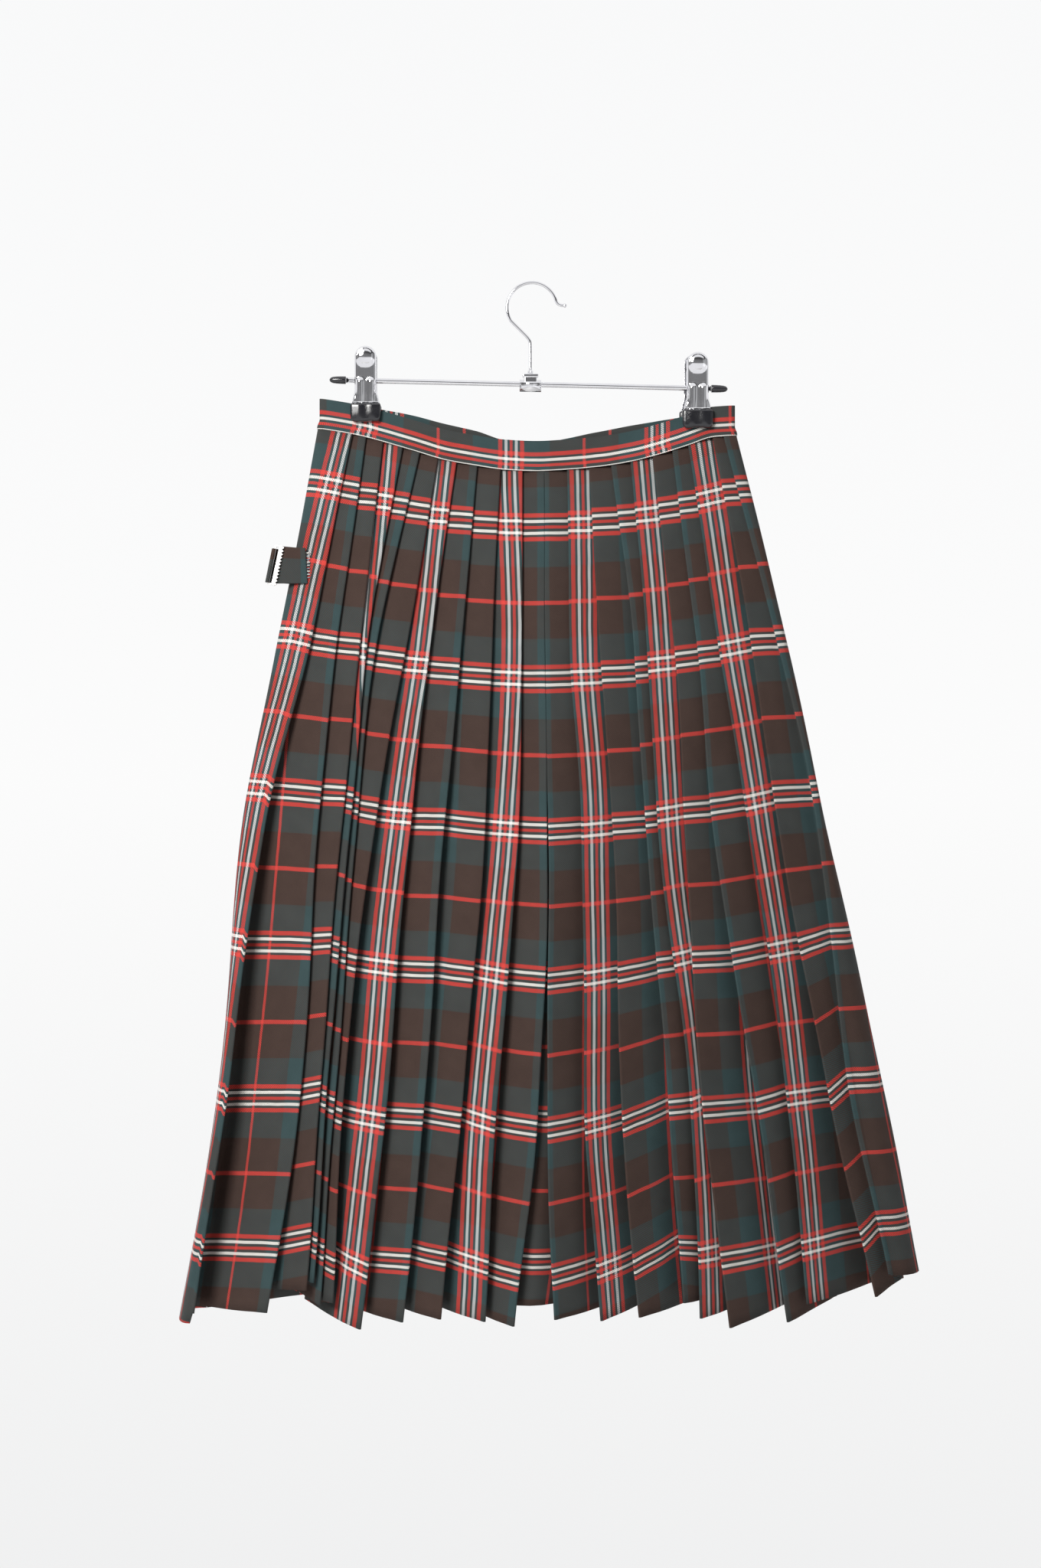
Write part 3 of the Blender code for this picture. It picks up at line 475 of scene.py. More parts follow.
class Pleats:
    """The pleats of one half at one height, with x counted towards the middle."""

    def __init__(self, folds, side, outline, sign):
        t = outline.t
        self.folds, self.side, self.outline, self.sign = folds, side, outline, sign
        self.edges = [-sign * edge_x(fold, t) for fold in folds]
        self.side_x = -sign * (outline.left if sign < 0 else outline.right)
        self.turn = outline.left_turn if sign < 0 else outline.right_turn
        self.start = self.side_x + self.turn
        self.lean = lerp(SEAM_SLOPE, HEM_SLOPE, t)
        self.gaps = [b - a for a, b in zip(self.edges, self.edges[1:])]
        self.gaps.append(self.gaps[-1])
        self.steps = [max(lerp(*PLEAT_PITCH, t), self.lean * gap) for gap in self.gaps]
        self.depths = [0.0]
        for step in self.steps:
            self.depths.append(self.depths[-1] + step)

    def forward(self, x):
        """How far the pleats lean towards the eye at x."""
        total = 0.0
        for edge, gap, step in zip(self.edges, self.gaps, self.steps):
            reach = SLOPE_BLEND + gap / 2
            middle = edge + gap / 2
            total += step * (ramp((x - middle) / reach) - ramp((self.start - middle) / reach))
        return total

    def slope(self, x):
        """How steeply the pleats lean forward at x, and the cloth used for each millimetre."""
        slope = self.forward(x) - self.forward(x - 1.0)
        return slope, math.hypot(1.0, slope)

    def swell(self, k, x):
        """How far the open part of face k rounds out towards the eye."""
        begin = self.edges[k - 1] if k else self.start
        gap = self.edges[k] - begin
        if x <= begin or x >= self.edges[k]:
            return 0.0
        share = (x - begin) / gap
        full = lerp(*SWELL, self.outline.t) * min(1.0, gap / SWELL_WIDTH)
        return full * math.sin(math.pi * share) ** 2

    def place(self, x, behind, hem, lift, fold):
        real_x = -self.sign * x
        return Place(real_x, self.outline.back(real_x) + behind, hem, lift, fold)

    def tuck(self, k):
        """How far pleat k goes under its neighbour."""
        spare = (PLEAT_CLOTH / math.hypot(1.0, self.lean) - self.gaps[k]) / 2
        tuck = min(DEEPEST_TUCK, max(LEAST_TUCK, spare))
        room = self.edges[k] - self.side_x - TURN_ROOM * self.turn - LAYER
        tuck = min(tuck, max(SIDE_TUCK, room))
        outline = self.outline
        deepest = outline.front(0.0) - outline.back(0.0) - APRON_GAP - 2 * LAYER
        while (tuck > LEAST_TUCK
               and self.depths[k + 1] - self.forward(self.edges[k] - tuck) > deepest):
            tuck -= TUCK_STEP
        return tuck

    def round_fold(self, k, hem):
        """The rounded outer fold of pleat k."""
        edge = self.edges[k]
        slope, size = self.slope(edge)
        half = LAYER / 2
        middle = (edge + half * slope / size,
                  self.depths[k] - self.forward(edge) + half / size)
        places = []
        for i in range(1, FOLD_STEPS):
            angle = math.pi * i / FOLD_STEPS
            out, across = math.sin(angle), -math.cos(angle)
            x = middle[0] + half * (out + across * slope) / size
            y = middle[1] + half * (across - out * slope) / size
            places.append(self.place(x, y, hem, 0.0, k))
        return places

    def line(self):
        """Places from the side turn to the middle."""
        folds, edges = self.folds, self.edges
        places = []
        begin, begin_hem, begin_lift = self.start, self.side.hem_z, 0.0
        for k, fold in enumerate(folds):
            edge, hem = edges[k], fold.hem_z
            for s in evenly(FACE_STEPS):
                x = lerp(begin, edge, s)
                behind = self.depths[k] - self.forward(x) - self.swell(k, x)
                places.append(self.place(x, behind, lerp(begin_hem, hem, s),
                                         begin_lift * (1 - s), k))
            places += self.round_fold(k, hem)
            follower = folds[k + 1].hem_z if k + 1 < len(folds) else hem
            inner_hem = (hem + follower) / 2
            slope, size = self.slope(edge)
            near = LAYER * size
            far = self.steps[k] - near
            turn_x = LAYER * slope / size
            tuck = self.tuck(k)
            for s in evenly(RETURN_STEPS):
                x = lerp(edge + turn_x, edge - tuck + turn_x, s)
                behind = self.depths[k] - self.forward(x) + lerp(near, far, s)
                places.append(self.place(x, behind, lerp(hem, inner_hem, s), fold.lift * s, k))
            begin, begin_hem, begin_lift = edge - tuck, inner_hem, fold.lift
        last = self.depths[len(folds)] - self.forward(begin)
        places.append(self.place(begin, last, begin_hem, begin_lift, len(folds) - 1))
        return places


def turn_line(side, outline, sign):
    """Places round one side, from the seam with an apron to the back."""
    inset = 0.0 if sign < 0 else APRON_GAP
    seam_x = outline.seam_left if sign < 0 else outline.seam_right
    places = [Place(seam_x, outline.front(seam_x) - inset, side.hem_z, 0.0, 0)]
    for i in range(TURN_STEPS):
        angle = math.pi * (1.0 - i / TURN_STEPS)
        x, y = outline.side(sign, angle, inset)
        places.append(Place(x, y, side.hem_z, 0.0, 0))
    return places


def distances(points):
    """Distance along a line of points, seen from above, to each of them."""
    along = [0.0]
    for before, after in zip(points, points[1:]):
        along.append(along[-1] + math.hypot(after[0] - before[0], after[1] - before[1]))
    return along


def check_places(places, folds, first, step, t):
    """At every place, distance along the width from the nearest outer fold, and the drop."""
    along = distances(places)
    crests = {}
    for k in range(len(folds)):
        mine = [i for i, place in enumerate(places) if place.fold == k]
        crests[k] = mine[0] + (FACE_STEPS if k else FACE_STEPS + 1 + TURN_STEPS)
    direction = 1.0 if step > 0 else -1.0
    found = []
    for i, place in enumerate(places):
        k = place.fold
        at_fold = first + k * step + moved(SLIPS, folds[k], t)
        past = along[i] - along[crests[k]]
        drop = moved(DROPS, folds[k], t) + moved(TILTS, folds[k], t) * past
        found.append((at_fold + direction * past, drop))
    return found


def back_section(t):
    """The whole pleated back at one height: places with where they are in the check."""
    outline = Outline(t)
    halves = []
    for folds, side, sign, first, step in (
            (LEFT_FOLDS, SIDE_LEFT, -1, LEFT_WARP, PLEAT_CLOTH),
            (RIGHT_FOLDS, SIDE_RIGHT, 1, RIGHT_WARP, -PLEAT_CLOTH)):
        places = turn_line(side, outline, sign) + Pleats(folds, side, outline, sign).line()
        halves.append(list(zip(places, check_places(places, folds, first, step, t))))
    left, right = halves
    (last, (last_u, last_drop)), (first, (_, first_drop)) = left[-1], right[-1]
    middle_x = (last.x + first.x) / 2
    behind = max(lerp(*PLEAT_PITCH, t), lerp(SEAM_SLOPE, HEM_SLOPE, t) * UNDERLAY_REACH)
    nearest = outline.back(middle_x) + behind
    underlay = []
    for i in range(1, UNDERLAY_STEPS):
        s = i / UNDERLAY_STEPS
        x = lerp(last.x, first.x, s)
        y = smooth_line((last.x, middle_x, first.x), (last.y, nearest, first.y), x)
        hem = lerp(last.hem, first.hem, s)
        place = Place(x, y, hem, lerp(last.lift, first.lift, s), 0)
        u = last_u + (x - last.x) * UNDERLAY_EASE
        underlay.append((place, (u, lerp(last_drop, first_drop, s))))
    return left + underlay + right[::-1]


def back_rows():
    """Sections of the pleated back from the seam to the hem."""
    seam = back_section(0.0)
    rows = []
    for t in evenly(ROW_COUNT):
        row = []
        for (top, _), (place, (u, drop)) in zip(seam, back_section(t)):
            seam_z = seam_height(top.x)
            z = lerp(seam_z, place.hem + place.lift * t, t)
            v = WEFT_START + t * WEFT_SHARE * (seam_z - place.hem) - drop
            row.append(Spot(place.x, place.y + sway(place.x, z, t), z, u, v))
        rows.append(row)
    return rows


def apron_span(outline, over):
    """Where an apron begins and ends at the height of an outline."""
    if over:
        return outline.seam_left + SEAM_GAP, outline.seam_right - APRON_FREE_EDGE
    return outline.seam_left + APRON_FREE_EDGE, outline.seam_right - SEAM_GAP


def apron_rows(over):
    """Sections of one apron: the over apron starts left, the under apron right."""
    shares = [row.share for row in FRONT_HEM]
    heights = [row.z for row in FRONT_HEM]
    top = Outline(0.0)
    rows = []
    for t in evenly(ROW_COUNT):
        outline = Outline(t)
        begin, end = apron_span(outline, over)
        row = []
        for x in evenly(APRON_STEPS, begin, end):
            share = (x - outline.seam_left) / (outline.seam_right - outline.seam_left)
            seam_z = seam_height(lerp(top.seam_left, top.seam_right, share), front=True)
            hem = smooth_line(shares, heights, share)
            z = lerp(seam_z, hem, t)
            hang = APRON_DRAPE * t * math.sin(math.pi * share) ** 2
            drape = hang * math.sin(7.0 * math.pi * share + 2.0 * t + 0.4)
            y = outline.front(x) - (0.0 if over else APRON_GAP) + sway(x, z, t) - drape
            v = WEFT_START + t * WEFT_SHARE * (seam_z - hem)
            row.append(Spot(x, y, z, -x * APRON_EASE, v))
        rows.append(row)
    return rows


def band_rows(name):
    """Lines along one piece of the waistband from its foot to its top edge."""
    outline = Outline(0.0)
    plan = []
    if name == "waistband_back":
        plan.append((outline.seam_left, outline.front(outline.seam_left), 1.0))
        for i in range(TURN_STEPS):
            angle = math.pi * (1.0 - i / TURN_STEPS)
            x, y = outline.side(-1, angle)
            plan.append((x, y, -math.cos(angle)))
        for x in evenly(BAND_STEPS, outline.back_left, outline.back_right):
            plan.append((x, outline.back(x), -1.0))
        for i in range(1, TURN_STEPS + 1):
            angle = math.pi * i / TURN_STEPS
            x, y = outline.side(1, angle, APRON_GAP)
            plan.append((x, y, 0.5 * (1.0 - math.cos(angle)) - 1.0))
        plan.append((outline.seam_right, outline.front(outline.seam_right) - APRON_GAP, 0.0))
    else:
        over = name == "waistband_over"
        begin, end = apron_span(outline, over)
        for x in evenly(APRON_STEPS, begin, end):
            y = outline.front(x) - (0.0 if over else APRON_GAP)
            plan.append((x, y, 1.0 if over else 0.0))
    along = distances(plan)
    if name == "waistband_back":
        zero = along[TURN_STEPS + 1] + BAND_GROUP_X - outline.back_left
        direction = 1.0
    else:
        zero = along[-1] / 2
        direction = -1.0
    rows = []
    for rise in BAND_RISES:
        pinch = ramp(2.0 * (rise - BAND_ROLL) / (BAND_PRESSED - BAND_ROLL) - 1.0)
        row = []
        for (x, y, layer), place in zip(plan, along):
            z = seam_height(x, front=name != "waistband_back") + rise
            top_y = BAND_TOP_PITCH * layer
            u = SETT / 2 + direction * (place - zero) * BAND_EASE
            v = SETT / 2 + BAND_HEIGHT - rise - BAND_GROUP_DROP
            row.append(Spot(x - BAND_DRAW * x * pinch, lerp(y, top_y, pinch), z, u, v))
        rows.append(row)
    return rows


# Materials
class Shading:
    """Adds nodes to one tree and joins them up."""

    def __init__(self, tree):
        self.tree = tree

    def feed(self, socket, source):
        if isinstance(source, bpy.types.NodeSocket):
            self.tree.links.new(source, socket)
        else:
            socket.default_value = source

    def add(self, kind, inputs=None, **settings):
        made = self.tree.nodes.new("ShaderNode" + kind)
        for key, value in settings.items():
            setattr(made, key, value)
        for socket, source in (inputs or {}).items():
            self.feed(made.inputs[socket], source)
        return made

    def math(self, operation, *inputs):
        made = self.add("Math", dict(enumerate(inputs)), operation=operation)
        return made.outputs[0]

    def mix(self, factor, a, b, blend="MIX"):
        made = self.add("Mix", {0: factor, 6: a, 7: b}, data_type="RGBA",
                        blend_type=blend)
        return made.outputs[2]

    def noise(self, vector, scale, detail=2.0, roughness=0.5):
        made = self.add("TexNoise", {"Vector": vector, "Scale": scale,
                                               "Detail": detail, "Roughness": roughness})
        return made.outputs[0]

    def between(self, value, low, high, out_low, out_high):
        made = self.add("MapRange", {0: value, 1: low, 2: high, 3: out_low,
                                               4: out_high})
        return made.outputs[0]

    def bands(self, value, stops, flat=False):
        """Colours along a value from nothing to one: (place, colour, strength) of each."""
        made = self.add("ValToRGB", {0: value})
        if flat:
            made.color_ramp.interpolation = "CONSTANT"
        places = made.color_ramp.elements
        places.remove(places[1])
        for i, (place, colour, strength) in enumerate(stops):
            stop = places.new(place) if i else places[0]
            stop.color = (*colour, strength)
        return made.outputs[0], made.outputs[1]

    def grey(self, value):
        made = self.add("CombineColor", {0: value, 1: value, 2: value})
        return made.outputs[0]

    def bump(self, shader, height, strength, distance):
        made = self.add("Bump", {"Height": height, "Strength": strength,
                                           "Distance": distance})
        self.feed(shader.inputs["Normal"], made.outputs[0])


def new_group(name, takes, gives):
    """An empty node group with named sockets: its shading, its inputs and its output node."""
    tree = bpy.data.node_groups.new(name, "ShaderNodeTree")
    for socket, (kind, value) in takes.items():
        made = tree.interface.new_socket(socket, in_out="INPUT", socket_type=kind)
        if value is not None:
            made.default_value = value
    for socket, kind in gives.items():
        tree.interface.new_socket(socket, in_out="OUTPUT", socket_type=kind)
    inside = tree.nodes.new("NodeGroupInput").outputs
    return Shading(tree), inside, tree.nodes.new("NodeGroupOutput").inputs


BROWN = (0.065, 0.041, 0.034)
GREEN = (0.044, 0.076, 0.080)
RED_WARP = (0.62, 0.062, 0.052)
RED_WEFT = (0.66, 0.062, 0.052)
WHITE_WARP = (0.60, 0.62, 0.62)
WHITE_WEFT = (0.80, 0.78, 0.74)

# Half of the check, which is the same both ways from its thin red line: where
# each band of thread begins, in millimetres of cloth
Band = namedtuple("Band", "start thread")
WARP_BANDS = (
    Band(0.0, "red"), Band(1.4, "brown"), Band(GREEN_START, "green"), Band(50.2, "red"),
    Band(53.3, "green"), Band(55.1, "white"), Band(57.9, "green"), Band(59.7, "red"),
)
WEFT_BANDS = (
    Band(0.0, "red"), Band(1.6, "brown"), Band(GREEN_START, "green"), Band(49.6, "red"),
    Band(52.8, "green"), Band(54.6, "white"), Band(57.4, "green"), Band(59.4, "red"),
)


def stripe_stops(bands, threads):
    """The whole check from its half: (share of the repeat, colour, strength) of every band."""
    starts = [band.start for band in bands] + [SETT / 2]
    order = [(band.start, band.thread) for band in bands]
    for i in range(len(bands) - 2, -1, -1):
        order.append((SETT - starts[i + 1], bands[i].thread))
    return [(start / SETT, *threads[thread]) for start, thread in order]


def tartan_group():
    """The check woven in a twill: colour and the height of the threads."""
    shading, takes, gives = new_group(
        "tartan_twill",
        {"Cloth": ("NodeSocketVector", None), "Heather": ("NodeSocketFloat", 0.12)},
        {"Color": "NodeSocketColor", "Height": "NodeSocketFloat"})
    cloth = takes["Cloth"]
    place = shading.add("SeparateXYZ", {0: cloth}).outputs
    # Hand and loom leave the lines a little uneven
    waver = shading.between(shading.noise(cloth, 9.0, 1.0), 0.3, 0.7, -0.001, 0.001)
    across = shading.math("FRACT", shading.math("ADD", place[0], waver))
    down = shading.math("FRACT", shading.math("ADD", place[1], waver))
    warp, warp_shows = shading.bands(across, stripe_stops(WARP_BANDS, {
        "brown": (BROWN, 0.0), "green": (GREEN, 0.0), "red": (RED_WARP, 0.35),
        "white": (WHITE_WARP, 0.55)}), flat=True)
    weft, weft_shows = shading.bands(down, stripe_stops(WEFT_BANDS, {
        "brown": (BROWN, 0.0), "green": (GREEN, 0.0), "red": (RED_WEFT, 0.5),
        "white": (WHITE_WEFT, 0.8)}), flat=True)
    apart = shading.math("SUBTRACT", weft_shows, warp_shows)
    coverage = shading.math("MULTIPLY_ADD", apart, 0.5, 0.5)
    diagonal = shading.math("SUBTRACT", place[0], place[1])
    diagonal = shading.math("FRACT", shading.math("MULTIPLY", diagonal, SETT / TWILL_PITCH))
    weft_up = shading.math("LESS_THAN", diagonal, coverage)
    colour = shading.mix(weft_up, warp, weft)
    both = shading.math("MULTIPLY", warp_shows, weft_shows)
    brighter = shading.math("MULTIPLY_ADD", both, 0.6, 1.0)
    # Heathered wool: fine flecks, and broader clouds in the dyeing
    heather = takes["Heather"]
    flecks = shading.between(shading.noise(cloth, SETT / 0.9, 3.0, 0.7), 0.25, 0.75, -1.0, 1.0)
    clouds = shading.between(shading.noise(cloth, SETT / 16.0, 2.0), 0.3, 0.7, -0.5, 0.5)
    uneven = shading.math("MULTIPLY", shading.math("ADD", flecks, clouds), heather)
    tone = shading.math("MULTIPLY", shading.math("ADD", uneven, 1.0), brighter)
    shading.feed(gives["Color"], shading.mix(1.0, colour, shading.grey(tone), "MULTIPLY"))
    rise = shading.math("PINGPONG", shading.math("MULTIPLY", diagonal, 2.0), 1.0)
    height = shading.math("ADD", shading.math("MULTIPLY", rise, 0.5),
                          shading.math("MULTIPLY", flecks, 0.35))
    shading.feed(gives["Height"], height)
    return shading.tree


def wear_group():
    """Handled metal and vinyl: uneven gloss, fine scratches and a soft tint."""
    shading, takes, gives = new_group(
        "handling_wear",
        {"Place": ("NodeSocketVector", None), "Gloss": ("NodeSocketFloat", 0.2),
         "Uneven": ("NodeSocketFloat", 0.1)},
        {"Roughness": "NodeSocketFloat", "Height": "NodeSocketFloat", "Mask": "NodeSocketFloat"})
    smudges = shading.noise(takes["Place"], 90.0, 3.0, 0.6)
    stretched = shading.add("Mapping", {"Vector": takes["Place"],
                                                  "Scale": (3000.0, 3000.0, 160.0)}).outputs[0]
    scratches = shading.noise(stretched, 1.0, 2.0, 0.6)
    mask = shading.between(smudges, 0.35, 0.7, 0.0, 1.0)
    uneven = shading.math("MULTIPLY", mask, takes["Uneven"])
    shading.feed(gives["Roughness"], shading.math("ADD", takes["Gloss"], uneven))
    shading.feed(gives["Height"], shading.math("ADD", scratches,
                                               shading.math("MULTIPLY", smudges, 2.0)))
    shading.feed(gives["Mask"], mask)
    return shading.tree


def new_material(name, **settings):
    """A material with its shader's plain sockets set."""
    made = bpy.data.materials.new(name)
    made.use_nodes = True
    shader = made.node_tree.nodes["Principled BSDF"]
    for socket, value in settings.items():
        shader.inputs[socket.replace("_", " ")].default_value = value
    return made, shader, Shading(made.node_tree)


def tartan_material(name, group, heather, relief, sheen):
    """Woven wool in the check."""
    made, shader, shading = new_material(name, Roughness=0.88, Sheen_Weight=sheen,
                                         Sheen_Roughness=0.45)
    shader.inputs["Specular IOR Level"].default_value = 0.18
    shader.inputs["Sheen Tint"].default_value = (0.85, 0.86, 0.84, 1.0)
    cloth = shading.add("UVMap", uv_map="cloth").outputs[0]
    twill = shading.add("Group", node_tree=group)
    shading.feed(twill.inputs["Cloth"], cloth)
    shading.feed(twill.inputs["Heather"], heather)
    shading.feed(shader.inputs["Base Color"], twill.outputs["Color"])
    shading.bump(shader, twill.outputs["Height"], relief, 0.0003)
    return made


def worn_material(name, group, colour, dull, gloss, uneven, relief, metallic, **settings):
    """Metal or vinyl with the wear of handling."""
    made, shader, shading = new_material(name, Metallic=metallic, **settings)
    place = shading.add("TexCoord").outputs["Object"]
    wear = shading.add("Group", node_tree=group)
    for socket, value in (("Place", place), ("Gloss", gloss), ("Uneven", uneven)):
        shading.feed(wear.inputs[socket], value)
    shading.feed(shader.inputs["Roughness"], wear.outputs["Roughness"])
    tint = shading.mix(wear.outputs["Mask"], (*colour, 1.0), (*dull, 1.0))
    shading.feed(shader.inputs["Base Color"], tint)
    shading.bump(shader, wear.outputs["Height"], relief, 0.0001)
    return made


def thread_material(name, colour):
    """Twisted sewing thread."""
    made, shader, shading = new_material(name, Roughness=0.7, Sheen_Weight=0.2)
    place = shading.add("TexCoord").outputs["Object"]
    twist = shading.add("TexWave", {"Vector": place, "Scale": 900.0, "Distortion": 2.0},
                        bands_direction="DIAGONAL").outputs["Fac"]
    # Painted shade: the thread's colour is darker along the twist's grooves, which are also bumped
    shade = shading.between(twist, 0.0, 1.0, 0.72, 1.0)
    tint = shading.mix(1.0, (*colour, 1.0), shading.grey(shade), "MULTIPLY")
    shading.feed(shader.inputs["Base Color"], tint)
    shading.bump(shader, twist, 0.4, 0.0001)
    return made


TWILL = tartan_group()
WEAR = wear_group()
TARTAN = tartan_material("tartan_wool", TWILL, heather=0.12, relief=0.35, sheen=0.05)
PRESSED_TARTAN = tartan_material("tartan_pressed", TWILL, heather=0.10, relief=0.2, sheen=0.04)
CHROME = worn_material("chromed_steel", WEAR, (0.86, 0.86, 0.88), dull=(0.80, 0.80, 0.82),
                       gloss=0.06, uneven=0.04, relief=0.03, metallic=1.0)
NICKEL = worn_material("satin_nickel", WEAR, (0.78, 0.77, 0.76), dull=(0.66, 0.65, 0.64),
                       gloss=0.30, uneven=0.08, relief=0.1, metallic=1.0)
VINYL = worn_material("black_vinyl", WEAR, (0.010, 0.010, 0.014), dull=(0.020, 0.020, 0.024),
                      gloss=0.13, uneven=0.10, relief=0.5, metallic=0.0,
                      Coat_Weight=0.5, Coat_Roughness=0.08)
WHITE_THREAD = thread_material("white_thread", (0.80, 0.78, 0.74))
RED_THREAD = thread_material("red_thread", (0.60, 0.07, 0.06))
BLUE_THREAD = thread_material("blue_thread", (0.30, 0.42, 0.50))


# Making pieces
def linked(name, data):
    """A new object, put into the scene."""
    made = bpy.data.objects.new(name, data)
    bpy.context.scene.collection.objects.link(made)
    return made


def new_piece(name, mesh, *finishes):
    """Puts a mesh into the scene, riding with the kilt."""
    for finish in finishes:
        mesh.materials.append(finish)
    made = linked(name, mesh)
    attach(made, "root")
    return made


def grid_faces(row_count, width):
    """Faces between rows of points that all have the same count."""
    return [(corner, corner + width, corner + width + 1, corner + 1)
            for r in range(row_count - 1)
            for corner in range(r * width, r * width + width - 1)]


def cloth_piece(name, rows, wall, finish):
    """A wall of cloth through rows of spots, all rows with the same count."""
    spots = [spot for row in rows for spot in row]
    mesh = bpy.data.meshes.new(name)
    mesh.from_pydata([Vector(spot[:3]) * MM for spot in spots], [],
                     grid_faces(len(rows), len(rows[0])))
    layer = mesh.uv_layers.new(name="cloth")
    for loop in mesh.loops:
        spot = spots[loop.vertex_index]
        layer.data[loop.index].uv = (spot.u / SETT, spot.v / SETT)
    mesh.shade_smooth()
    made = new_piece(name, mesh, finish)
    thick = made.modifiers.new("wall", "SOLIDIFY")
    thick.thickness = wall * MM
    thick.offset = 0.0
    thick.use_even_offset = True
    thick.use_quality_normals = True
    return made


def soften_edges(piece, width):
    """Rounds the cut edges of a piece."""
    edge = piece.modifiers.new("soft_edge", "BEVEL")
    edge.width = width * MM
    edge.segments = 2
    edge.limit_method = "ANGLE"
    edge.angle_limit = math.radians(50)


def tube_mesh(work, points, radii, sides=16, finish=0):
    """Adds a round tube through points in millimetres, with closed ends, to a mesh."""
    points = [Vector(point) for point in points]
    if not hasattr(radii, "__len__"):
        radii = [radii] * len(points)
    heading = (points[1] - points[0]).normalized()
    across = heading.orthogonal().normalized()
    rings = []
    for i, (point, radius) in enumerate(zip(points, radii)):
        before, after = points[max(0, i - 1)], points[min(len(points) - 1, i + 1)]
        onward = (after - before).normalized()
        across = heading.rotation_difference(onward) @ across
        heading = onward
        up = heading.cross(across)
        ring = []
        for j in range(sides):
            angle = 2 * math.pi * j / sides
            spot = point + (across * math.cos(angle) + up * math.sin(angle)) * radius
            ring.append(work.verts.new(spot * MM))
        rings.append(ring)
    faces = []
    for low, high in zip(rings, rings[1:]):
        for j in range(sides):
            k = (j + 1) % sides
            faces.append(work.faces.new((low[j], low[k], high[k], high[j])))
    faces.append(work.faces.new(rings[0][::-1]))
    faces.append(work.faces.new(rings[-1]))
    for face in faces:
        face.smooth = len(face.verts) == 4
        face.material_index = finish


def bead_line(start, end, radius, steps=7):
    """A bar with round ends: its points and their radii."""
    start, end = Vector(start), Vector(end)
    along = (end - start).normalized()
    points, radii = [], []
    for i in range(1, steps + 1):
        angle = math.pi / 2 * i / steps
        points.append(start + along * radius * (1 - math.cos(angle)))
        radii.append(radius * math.sin(angle))
    for point, size in zip(points[::-1], radii[::-1]):
        points.append(start + end - point)
        radii.append(size)
    return points, radii


def tube_piece(name, points, radii, finish, sides=16):
    """A piece that is one round tube."""
    work = bmesh.new()
    tube_mesh(work, points, radii, sides)
    return finished(name, work, finish)


def finished(name, work, *finishes):
    """Turns a mesh in the making into a piece."""
    bmesh.ops.recalc_face_normals(work, faces=work.faces)
    mesh = bpy.data.meshes.new(name)
    work.to_mesh(mesh)
    work.free()
    return new_piece(name, mesh, *finishes)


def rounded_block(work, size, centre, rounding, shape=None, steps=10):
    """Adds a box with rounded edges to a mesh; shape moves its points."""
    half = Vector(size) / 2
    made = {}

    def corner(key):
        if key not in made:
            target = Vector([math.sin((2.0 * key[i] / steps - 1.0) * math.pi / 2) * half[i]
                             for i in range(3)])
            inner = Vector([max(-half[i] + rounding, min(half[i] - rounding, target[i]))
                            for i in range(3)])
            off = target - inner
            if off.length > 0.0001:
                target = inner + off.normalized() * rounding
            if shape:
                target = shape(target)
            made[key] = work.verts.new((target + Vector(centre)) * MM)
        return made[key]

    for axis in range(3):
        for end in (0, steps):
            for i in range(steps):
                for j in range(steps):
                    keys = []
                    for di, dj in ((0, 0), (1, 0), (1, 1), (0, 1)):
                        key = [i + di, j + dj]
                        key.insert(axis, end)
                        keys.append(tuple(key))
                    work.faces.new([corner(key) for key in keys]).smooth = True


def flat_piece(name, outline, holes, thickness, rounding, finish):
    """Sheet metal cut to an outline of (across, up) with holes, standing in the XZ plane."""
    curve = bpy.data.curves.new(name, "CURVE")
    curve.dimensions = "2D"
    curve.fill_mode = "BOTH"
    curve.extrude = (thickness / 2 - rounding) * MM
    curve.bevel_depth = rounding * MM
    curve.bevel_resolution = 2
    curve.offset = -rounding * MM
    for loop in (outline, *holes):
        spline = curve.splines.new("POLY")
        spline.points.add(len(loop) - 1)
        spline.use_cyclic_u = True
        for control, (across, up) in zip(spline.points, loop):
            control.co = (across * MM, up * MM, 0.0, 1.0)
    source = linked(name + "_outline", curve)
    bpy.context.view_layer.update()
    graph = bpy.context.evaluated_depsgraph_get()
    mesh = bpy.data.meshes.new_from_object(source.evaluated_get(graph))
    bpy.data.objects.remove(source)
    mesh.transform(Matrix.Rotation(math.pi / 2, 4, "X"))
    mesh.materials.clear()
    work = bmesh.new()
    work.from_mesh(mesh)
    bmesh.ops.remove_doubles(work, verts=work.verts, dist=0.000005)
    return finished(name, work, finish)


# The kilt
def beside(spot, shift):
    """A spot moved sideways."""
    return spot._replace(x=spot.x + shift)


def make_skirt():
    """The pleated back, the over apron and the two widths of the under apron."""
    back = cloth_piece("pleated_back", back_rows(), WALL, TARTAN)
    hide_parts("side_left", "pleats_left_outer", "pleats_left_inner",
                "pleats_right_inner", "pleats_right_outer", "side_right")
    apron = cloth_piece("over_apron_cloth", apron_rows(True), WALL, TARTAN)
    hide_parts("over_apron")
    under = apron_rows(False)
    half = APRON_STEPS // 2
    left = [row[:half] + [beside(row[half], -SEAM_GAP / 2)] for row in under]
    right = [[beside(row[half], SEAM_GAP / 2)] + row[half + 1:] for row in under]
    for side, rows in (("left", left), ("right", right)):
        apron = cloth_piece(f"under_apron_cloth_{side}", rows, WALL, TARTAN)
        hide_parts(f"under_apron_{side}")


def make_waistband():
    """The band: one stretch on the back and one on each apron."""
    for name, width in (("back", 0.37), ("over", 0.31), ("under", 0.31)):
        band = cloth_piece(f"waistband_cloth_{name}", band_rows(f"waistband_{name}"), BAND_WALL,
                           PRESSED_TARTAN)
        soften_edges(band, BAND_EDGE)
        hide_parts(f"waistband_{name}")


